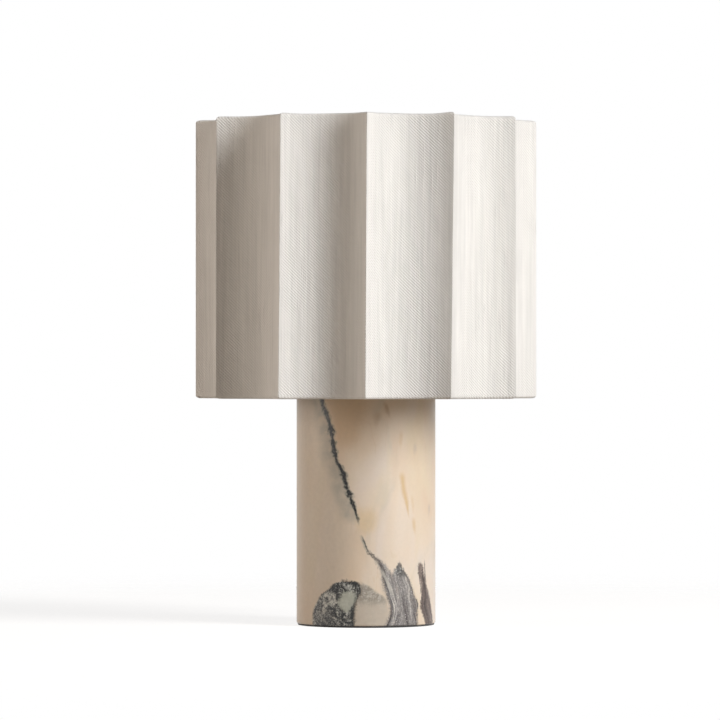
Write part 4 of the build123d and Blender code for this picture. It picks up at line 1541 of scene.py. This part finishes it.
@dataclass
class Shade(SubAssembly):
    """The cloth, its lining, both hoops and the spider."""

    plan: ShadePlan = field(default_factory=ShadePlan)
    cloth: float = 0.8
    lining: float = 0.6
    wire: float = 1.6
    hem: float = 2.4
    fold: float = 8.0
    hoop_drop: float = 0.4
    seam_width: float = 7.0
    map_margin: float = 2.0

    def cloth_section(self) -> list[Point2]:
        """The cloth's whole skin in section.

        Returns:
            Depth and height pairs, from the bottom of the outer face round both hems.
        """
        low, high = self.plan.bottom + self.hem, self.plan.top - self.hem
        steps = 10
        turn = [math.pi * (1 - k / steps) for k in range(1, steps + 1)]
        inner = self.hem - self.cloth + 0.02
        back = self.cloth + self.lining + 0.03
        end = high - self.hem - self.fold
        upper = [(self.hem * (1 + math.cos(a)), high + self.hem * math.sin(a)) for a in turn]
        upper += [(back + self.cloth + 0.6, end + 4.0), (back + self.cloth, end + 0.8)]
        upper += [(back + self.cloth * 0.7, end), (back, end), (back, end + 5.0)]
        upper += [(self.hem + inner * math.cos(a), high + inner * math.sin(a)) for a in reversed(turn)]
        middle = self.plan.bottom + self.plan.top
        lower = [(depth, middle - height) for depth, height in reversed(upper)]
        face = PieceMaker.rise(0.0, low, high, 72)
        hidden = PieceMaker.rise(self.cloth - 0.02, high, low, 12)
        return face + upper + hidden + lower

    def sweep(self, name: str, section: Sequence[Point2], steps: int, mapped: bool = False) -> bpy.types.Object:
        """Carries a closed section round the shade's plan.

        Args:
            name: The piece's name.
            section: Depth and height pairs.
            steps: Divisions of one panel.
            mapped: Whether the piece gets a map of the flat cloth.

        Returns:
            The piece.
        """
        shape = bmesh.new()
        outlines = {depth: self.plan.outline(depth, steps) for depth in {d for d, _ in section}}
        rows = []
        for depth, height in section:
            lift = Vector((0.0, 0.0, height))
            rows.append([shape.verts.new(self.plan.drift(point + lift)) for point, _ in outlines[depth]])
        walks = [0.0]
        for first, second in zip(section, list(section[1:]) + [section[0]]):
            walks.append(walks[-1] + math.dist(first, second))
        along = [place for _, place in outlines[section[0][0]]]
        chart = shape.loops.layers.uv.new("OFBake") if mapped else None
        for r, row in enumerate(rows):
            upper = rows[(r + 1) % len(rows)]
            for k, start in enumerate(along):
                n = (k + 1) % len(along)
                face = shape.faces.new((row[k], row[n], upper[n], upper[k]))
                if chart is not None:
                    stop = along[n] if n else self.plan.girth + along[0]
                    spots = ((start, walks[r]), (stop, walks[r]), (stop, walks[r + 1]), (start, walks[r + 1]))
                    for loop, (u, v) in zip(face.loops, spots):
                        loop[chart].uv = ((u + self.map_margin) / CLOTH_MAP, (v + self.map_margin) / CLOTH_MAP)
        return PieceMaker.publish(name, shape, 60.0)

    def seam(self) -> bpy.types.Object:
        """The turned-in end of the cloth, which laps over its start beside the back ridge.

        Returns:
            The piece.
        """
        low, high = self.plan.bottom + self.hem, self.plan.top - self.hem
        steps = 6
        panel = self.plan.panels // 2
        levels = PieceMaker.rise(0.0, low, high, 60)
        parts = [-1 + 0.03 + 2 * self.seam_width / self.plan.panel_width * k / steps for k in range(steps + 1)]
        ring = [(part, -0.55) for part in parts] + [(part, -0.02) for part in reversed(parts)]
        shape = bmesh.new()
        chart = shape.loops.layers.uv.new("OFBake")
        rows = []
        for _, height in levels:
            wave = 0.25 * noise.noise(Vector((height * 0.03, 0.0, 0.0)))
            points = [self.plan.on_panel(panel, part + wave * 0.01, depth) for part, depth in ring]
            rows.append([shape.verts.new(self.plan.drift(p + Vector((0.0, 0.0, height)))) for p in points])
        for r, (lower, upper) in enumerate(zip(rows, rows[1:])):
            for k in range(len(ring)):
                n = (k + 1) % len(ring)
                face = shape.faces.new((lower[k], lower[n], upper[n], upper[k]))
                low_v, high_v = levels[r][1] - low, levels[r + 1][1] - low
                for loop, (u, v) in zip(face.loops, ((k, low_v), (k + 1, low_v), (k + 1, high_v), (k, high_v))):
                    loop[chart].uv = ((u * 1.2 + self.map_margin) / CLOTH_MAP, (v + self.map_margin) / CLOTH_MAP)
        shape.faces.new(rows[0])
        shape.faces.new(rows[-1])
        return PieceMaker.publish("shade_back_seam", shape, 60.0)

    def build(self) -> list[str]:
        """Builds and dresses every piece of the shade.

        Returns:
            Their names.
        """
        cloth = self.sweep("shade_cloth", self.cloth_section(), 24, mapped=True)
        PieceMaker.place(cloth, Body.SHADE, "shade_fabric", PALETTE.cloth, "shade_fabric")
        seam = PieceMaker.place(self.seam(), Body.SHADE, "shade_fabric", PALETTE.cloth)
        (self.plan.girth + self.seam_width) * SCALE
        low = self.plan.bottom + self.hem + self.wire + 0.2
        high = self.plan.top - self.hem - self.wire - 0.2
        face = PieceMaker.rise(self.cloth, low, high, 24)
        back = PieceMaker.rise(self.cloth + self.lining, high, low, 24)
        lining = self.sweep("shade_lining", face + back, 18)
        PieceMaker.place(lining, Body.SHADE, "shade_liner", PALETTE.lining, "shade_liner")
        names = [cloth.name, seam.name, lining.name]
        upper_level = self.plan.top - self.hem - self.hoop_drop
        for label, level in (("top", upper_level), ("bottom", self.plan.bottom + self.hem)):
            turn = [FULL_TURN * k / 12 for k in range(12)]
            ring = [(self.hem + self.wire * math.cos(a), level + self.wire * math.sin(a)) for a in turn]
            hoop = self.sweep(f"shade_hoop_{label}", ring, 16)
            PieceMaker.place(hoop, Body.SHADE, "white_steel", PALETTE.enamel, f"shade_{label}_ring")
            names.append(hoop.name)
        arms = ("spider_hub", "spider_arm_front", "spider_arm_left", "spider_arm_right")
        return names + PieceMaker.dress_solids({arm: PALETTE.enamel for arm in arms})


# ======================================================================================
# Column and stem
# ======================================================================================


@dataclass
class Column(SubAssembly):
    """The marble column, its felt, and what the foot hides."""

    felt_radius: float = 61.0
    felt_height: float = 1.5
    ragged: float = 0.12

    def felt(self) -> bpy.types.Object:
        """The pressed pad, with a soft and slightly furry cut edge.

        Returns:
            The piece.
        """
        edge = self.felt_radius
        top = self.felt_height
        outline = [(0.0, 0.0)] + [(edge * k / 12, 0.0) for k in range(1, 12)]
        outline += [(edge - 0.45, 0.0), (edge - 0.15, 0.12), (edge, 0.45), (edge, 1.0), (edge - 0.2, top)]
        outline += [(edge * k / 12, top) for k in range(11, 0, -1)] + [(0.0, top)]
        shape = PieceMaker.turned(outline, 240)
        for vert in shape.verts:
            reach = math.hypot(vert.co.x, vert.co.y)
            if reach > edge - 0.6:
                inward = self.ragged * (0.5 + 0.5 * noise.noise(vert.co * 1.7))
                vert.co.x *= 1 - inward / reach
                vert.co.y *= 1 - inward / reach
        return PieceMaker.publish("foot_felt", shape)

    def build(self) -> list[str]:
        """Builds the felt and dresses the stone and the foot's fittings.

        Returns:
            Their names.
        """
        felt = PieceMaker.place(self.felt(), Body.LAMP, "felt", PALETTE.felt, "base_felt")
        return [felt.name] + PieceMaker.dress_solids({
            "marble_column": PALETTE.marble,
            "base_cover": PALETTE.black_plastic,
            "cord_bushing": PALETTE.black_plastic,
            "bottom_washer": PALETTE.zinc,
            "lock_washer": PALETTE.zinc,
            "bottom_nut": PALETTE.zinc,
        })


@dataclass
class Stem(SubAssembly):
    """The threaded tube through the column, with the seat disc and neck above it."""

    outside: float = 4.9
    bore: float = 3.45
    bottom: float = 12.0
    top: float = 255.0
    pitch: float = 1.0
    thread_depth: float = 0.45

    def tube(self) -> bpy.types.Object:
        """The tube, threaded at both ends.

        Returns:
            The piece.
        """
        low_end, high_start = self.bottom + 20.0, self.top - 24.0
        threads = [
            Relief(self.bottom, low_end, self.thread_depth, self.outside - 0.1, pitch=self.pitch),
            Relief(high_start, self.top, self.thread_depth, self.outside - 0.1, pitch=self.pitch),
        ]
        wall = PieceMaker.rise(self.outside, self.bottom, low_end, 160)
        wall += PieceMaker.rise(self.outside, high_start, self.top, 192)
        bore = [(self.bore, self.top), (self.bore, self.bottom)]
        return PieceMaker.publish("stem_tube", PieceMaker.turned(wall + bore, 40, threads), 50.0)

    def build(self) -> list[str]:
        """Builds the tube and dresses what it carries.

        Returns:
            Their names.
        """
        tube = PieceMaker.place(self.tube(), Body.LAMP, "steel", PALETTE.zinc, "lamp_tube")
        return [tube.name] + PieceMaker.dress_solids({"seat_disc": PALETTE.brass, "neck": PALETTE.brass})


@dataclass
class Wiring(SubAssembly):
    """The terminal block in the foot and both leads up the tube."""

    live: Finish = PALETTE.black_lead
    neutral: Finish = PALETTE.white_lead

    def build(self) -> list[str]:
        """Dresses the wiring.

        Returns:
            The pieces' names.
        """
        return PieceMaker.dress_solids({
            "terminal_block": PALETTE.nylon,
            "block_screws": PALETTE.zinc,
            "lead_live": self.live,
            "lead_neutral": self.neutral,
        })


# ======================================================================================
# Lamp holder and harp
# ======================================================================================


@dataclass
class LampHolder(SubAssembly):
    """The shell, core, contacts and switch that the bulb screws into."""

    floor: float = 279.5
    mouth: float = 302.5
    bore: float = 13.45
    wall: float = 0.35
    pitch: float = 3.629
    thread_depth: float = 0.42

    def screw_shell(self) -> bpy.types.Object:
        """The thin rolled cup, its thread pressed through the wall.

        Returns:
            The piece.
        """
        rolled = Relief(self.floor + 2.0, self.mouth - 0.6, -self.thread_depth, self.bore - 0.1, pitch=self.pitch)
        outside = PieceMaker.rise(self.bore + self.wall, self.floor, self.mouth, 66)
        inside = PieceMaker.rise(self.bore, self.mouth, self.floor + 0.5, 66)
        outline = [(6.5, self.floor)] + outside + inside + [(6.5, self.floor + 0.5)]
        return PieceMaker.publish("rolled_screw_shell", PieceMaker.turned(outline, 80, [rolled]), 50.0)

    def build(self) -> list[str]:
        """Builds the screw shell and dresses the rest of the holder.

        Returns:
            Their names.
        """
        shell = PieceMaker.place(self.screw_shell(), Body.LAMP, "aluminium", PALETTE.aluminium, "screw_shell")
        return [shell.name] + PieceMaker.dress_solids({
            "socket_cap": PALETTE.brass,
            "socket_shell": PALETTE.brass,
            "socket_liner": PALETTE.card,
            "socket_core": PALETTE.phenolic,
            "centre_contact": PALETTE.brass,
            "terminal_screw_live": PALETTE.brass,
            "terminal_screw_neutral": PALETTE.zinc,
            "switch_shaft": PALETTE.brass_wire,
            "switch_knob": PALETTE.phenolic,
        })


@dataclass
class Harp(SubAssembly):
    """The saddle, the bent wire, its sleeves and the swivelling stud."""

    plate_under: float = 420.4
    flange: float = 422.5
    hub: float = 424.0
    tip: float = 437.0
    thread: float = 3.1
    pitch: float = 0.94
    thread_depth: float = 0.34

    def stud(self) -> bpy.types.Object:
        """The stud: rivet head, neck, flange and threaded end.

        Returns:
            The piece.
        """
        under = self.plate_under
        outline = [(0.0, under - 1.3), (2.6, under - 1.3), (3.5, under - 1.0), (4.0, under - 0.5), (4.0, under - 0.1)]
        outline += [(2.5, under - 0.1), (2.5, self.flange), (7.2, self.flange), (7.5, self.flange + 0.3)]
        outline += [(7.5, self.hub - 0.3), (7.2, self.hub), (self.thread, self.hub)]
        outline += PieceMaker.rise(self.thread, self.hub + 0.2, self.tip - 0.6, 110)
        outline += [(self.thread - 0.6, self.tip), (0.0, self.tip)]
        cut = Relief(self.hub + 0.6, self.tip - 0.4, self.thread_depth, self.thread - 0.05, pitch=self.pitch, ease=0.5)
        return PieceMaker.publish("swivel_stud", PieceMaker.turned(outline, 48, [cut]), 50.0)

    def build(self) -> list[str]:
        """Builds the stud and dresses the harp.

        Returns:
            Their names.
        """
        stud = PieceMaker.place(self.stud(), Body.STUD, "brass", PALETTE.brass, "harp_stud")
        return [stud.name] + PieceMaker.dress_solids({
            "harp_saddle": PALETTE.brass_wire,
            "harp_wire": PALETTE.brass_wire,
            "harp_top_plate": PALETTE.brass_wire,
            "harp_sleeve_left": PALETTE.brass,
            "harp_sleeve_right": PALETTE.brass,
        })


@dataclass
class Finial(SubAssembly):
    """The reeded knob that holds the shade down, and its washer."""

    low: float = 427.25
    bore: float = 3.15
    bore_depth: float = 11.5
    reeds: int = 44
    reed_depth: float = 0.28

    def knob(self) -> bpy.types.Object:
        """The turned knob: a beaded foot, a waist and a reeded crown.

        Returns:
            The piece.
        """
        steps = [(7.3, 0.0), (7.8, 0.2), (8.0, 0.7), (8.0, 2.7), (7.75, 3.3), (7.0, 3.8), (6.3, 4.4), (6.0, 5.1)]
        steps += [(6.0, 6.1), (6.2, 6.9), (6.8, 7.7), (7.6, 8.5), (8.0, 9.2), (8.0, 9.9)]
        steps += PieceMaker.rise(8.0, 10.2, 13.2, 10)
        steps += [(7.9, 13.7), (7.6, 14.3), (7.0, 15.0), (6.1, 15.6), (4.6, 16.1), (2.6, 16.35), (0.0, 16.4)]
        bore = [(0.0, self.bore_depth), (self.bore, self.bore_depth), (self.bore, 0.5), (self.bore + 0.5, 0.0)]
        outline = [(radius, self.low + height) for radius, height in steps + bore]
        reeded = Relief(self.low + 9.6, self.low + 13.8, self.reed_depth, 7.0, count=self.reeds, ease=0.8)
        return PieceMaker.publish("turned_finial", PieceMaker.turned(outline, self.reeds * 6, [reeded]), 40.0)

    def build(self) -> list[str]:
        """Builds the knob and dresses its washer.

        Returns:
            Their names.
        """
        knob = PieceMaker.place(self.knob(), Body.FINIAL, "brass", PALETTE.brass, "finial")
        return [knob.name] + PieceMaker.dress_solids({"finial_washer": PALETTE.brass})


@dataclass
class Bulb(SubAssembly):
    """The bulb: rolled cap, housing, boards and diffuser."""

    low: float = 286.5
    top: float = 305.5
    outside: float = 13.0
    inside: float = 11.3
    pitch: float = 3.629
    thread_depth: float = 1.15

    def cap(self) -> bpy.types.Object:
        """The rolled screw cap.

        Returns:
            The piece.
        """
        rolled = Relief(self.low + 1.2, self.top - 3.6, self.thread_depth, self.outside - 0.1, pitch=self.pitch,
                        ease=1.6)
        outline = [(9.5, self.low - 0.6), (11.2, self.low - 0.1), (12.4, self.low + 0.4), (12.9, self.low + 1.0)]
        outline += PieceMaker.rise(self.outside, self.low + 1.2, self.top - 3.6, 84)
        outline += [(self.outside, self.top - 0.3), (self.outside - 0.2, self.top), (self.inside + 1.2, self.top)]
        outline += [(self.inside + 1.2, self.top - 3.4), (self.inside, self.top - 3.8), (self.inside, self.low + 1.6)]
        outline += [(9.5, self.low + 0.4)]
        return PieceMaker.publish("rolled_bulb_cap", PieceMaker.turned(outline, 96, [rolled]), 50.0)

    def build(self) -> list[str]:
        """Builds the cap and dresses the rest of the bulb.

        Returns:
            Their names.
        """
        cap = PieceMaker.place(self.cap(), Body.BULB, "aluminium", PALETTE.aluminium, "bulb_cap")
        return [cap.name] + PieceMaker.dress_solids({
            "bulb_tip": PALETTE.zinc,
            "bulb_insulator": PALETTE.vitrite,
            "bulb_housing": PALETTE.bulb_plastic,
            "bulb_driver": PALETTE.green_board,
            "bulb_led_board": PALETTE.white_board,
            "bulb_dome": PALETTE.opal,
        })


# ======================================================================================
# Studio
# ======================================================================================


@dataclass(frozen=True)
class Softbox:
    """An oval area light that faces the lamp."""

    name: str
    turn: float
    rise: float
    distance: float
    width: float
    height: float
    power: float
    colour: Colour

    def light(self, aim: Vector) -> bpy.types.Object:
        """Makes the light.

        Args:
            aim: The point that it faces, in metres.

        Returns:
            The light object.
        """
        data = bpy.data.lights.new(self.name, "AREA")
        data.shape = "ELLIPSE"
        data.size = self.width
        data.size_y = self.height
        data.energy = self.power
        data.color = self.colour
        angle, lift = math.radians(self.turn), math.radians(self.rise)
        away = Vector((math.sin(angle) * math.cos(lift), -math.cos(angle) * math.cos(lift), math.sin(lift)))
        made = bpy.data.objects.new(self.name, data)
        made.location = aim + away * self.distance
        made.rotation_euler = away.to_track_quat("Z", "Y").to_euler()
        bpy.context.scene.collection.objects.link(made)
        return made


@dataclass
class Studio:
    """The photograph's camera, its soft light and a pale floor. Sizes are in metres."""

    distance: float = 4.36
    eye_height: float = 0.2308
    lens: float = 244.0
    frame_px: float = 720.0
    axis_px: float = 366.0
    horizon_px: float = 366.0
    aim: Vector = field(default_factory=lambda: Vector((0.0, 0.0, 0.26)))
    softboxes: tuple[Softbox, ...] = (
        Softbox("key_softbox", 52.0, 24.0, 4.8, 1.55, 3.5, 248.0, (0.99, 1.0, 1.01)),
        Softbox("low_fill_softbox", -80.0, 4.0, 3.2, 2.4, 2.2, 47.0, (1.0, 0.90, 0.81)),
        Softbox("high_fill_softbox", -104.0, 28.0, 3.2, 2.4, 2.4, 9.0, (1.0, 0.90, 0.81)),
    )
    air: Colour = (1.0, 0.72, 0.50)
    air_strength: float = 0.03
    floor_reach: float = 8.0
    floor_fade: Point2 = (0.45, 1.1)
    floor_glow: float = 0.84
    floor_shade: Colour = (0.30, 0.29, 0.28)
    paper: Colour = (0.47, 0.41, 0.35)
    sensor: float = 36.0
    sight: float = 200.0

    def camera(self) -> bpy.types.Object:
        """Makes the camera, level and looking along +Y.

        Returns:
            The camera, set as the scene's.
        """
        data = bpy.data.cameras.new("portrait_camera")
        data.lens = self.lens
        data.sensor_width = self.sensor
        centre = self.frame_px / 2
        data.shift_x = -(self.axis_px - centre) / self.frame_px
        data.shift_y = (self.horizon_px - centre) / self.frame_px
        data.clip_end = self.sight
        made = bpy.data.objects.new("portrait_camera", data)
        made.location = (0.0, -self.distance, self.eye_height)
        made.rotation_euler = Euler((math.pi / 2, 0.0, 0.0))
        bpy.context.scene.collection.objects.link(made)
        bpy.context.scene.camera = made
        return made

    @staticmethod
    def seen_rays(board: NodeBoard) -> Socket:
        """1 for rays from the camera and from mirrors or glass."""
        paths = board.node("LightPath")
        seen = board.calc("MAXIMUM", paths.outputs["Is Camera Ray"], paths.outputs["Is Glossy Ray"])
        return board.calc("MAXIMUM", seen, paths.outputs["Is Transmission Ray"])

    def lights(self) -> None:
        """Makes the softboxes and the world's even light, with a white backdrop."""
        for softbox in self.softboxes:
            softbox.light(self.aim)
        world = bpy.data.worlds.new("studio_air")
        board = NodeBoard.cleared(world)
        air = board.fill(board.node("Background"), Color=self.air, Strength=self.air_strength)
        white = board.fill(board.node("Background"), Color=(1.0, 1.0, 1.0))
        mixed = board.mixed(self.seen_rays(board), air.outputs[0], white.outputs[0])
        board.fill(board.node("OutputWorld"), Surface=mixed)
        bpy.context.scene.world = world

    def floor(self) -> bpy.types.Object:
        """Makes the pale floor, which fades into the white backdrop.

        Returns:
            The floor.
        """
        shape = bmesh.new()
        bmesh.ops.create_grid(shape, x_segments=8, y_segments=8, size=self.floor_reach / SCALE)
        made = PieceMaker.publish("studio_floor", shape)
        data = bpy.data.materials.new("studio_floor")
        board = NodeBoard.cleared(data)
        x, y, _ = board.split(board.node("TexCoord").outputs["Object"])
        away = board.vector("LENGTH", board.pack(x, y, 0.0))
        paper = board.fill(board.node("BsdfDiffuse"), Color=self.paper)
        shade = board.fill(board.node("BsdfDiffuse"), Color=self.floor_shade)
        glow = board.fill(board.node("Emission"), Strength=self.floor_glow)
        both = board.node("AddShader")
        board.feed(both.inputs[0], shade.outputs[0])
        board.feed(both.inputs[1], glow.outputs[0])
        clear = board.node("BsdfTransparent")
        faded = board.mixed(board.span(away, *self.floor_fade), both.outputs[0], clear.outputs[0])
        mixed = board.mixed(self.seen_rays(board), paper.outputs[0], faded)
        board.fill(board.node("OutputMaterial"), Surface=mixed)
        made.data.materials.append(data)
        return made


def main() -> None:
    """Sets up the studio, builds the lamp's groups in order and reports each piece."""
    logging.basicConfig(level=logging.INFO, format="%(message)s")
    bpy.context.scene.view_settings.view_transform = "Standard"
    studio = Studio()
    studio.camera()
    studio.lights()
    studio.floor()
    log.info("studio ready")
    for group in (Shade(), Column(), Stem(), Wiring(), LampHolder(), Harp(), Finial(), Bulb()):
        for piece in group.build():
            log.info("%s: %s", type(group).__name__, piece)


if __name__ == "__main__":
    main()
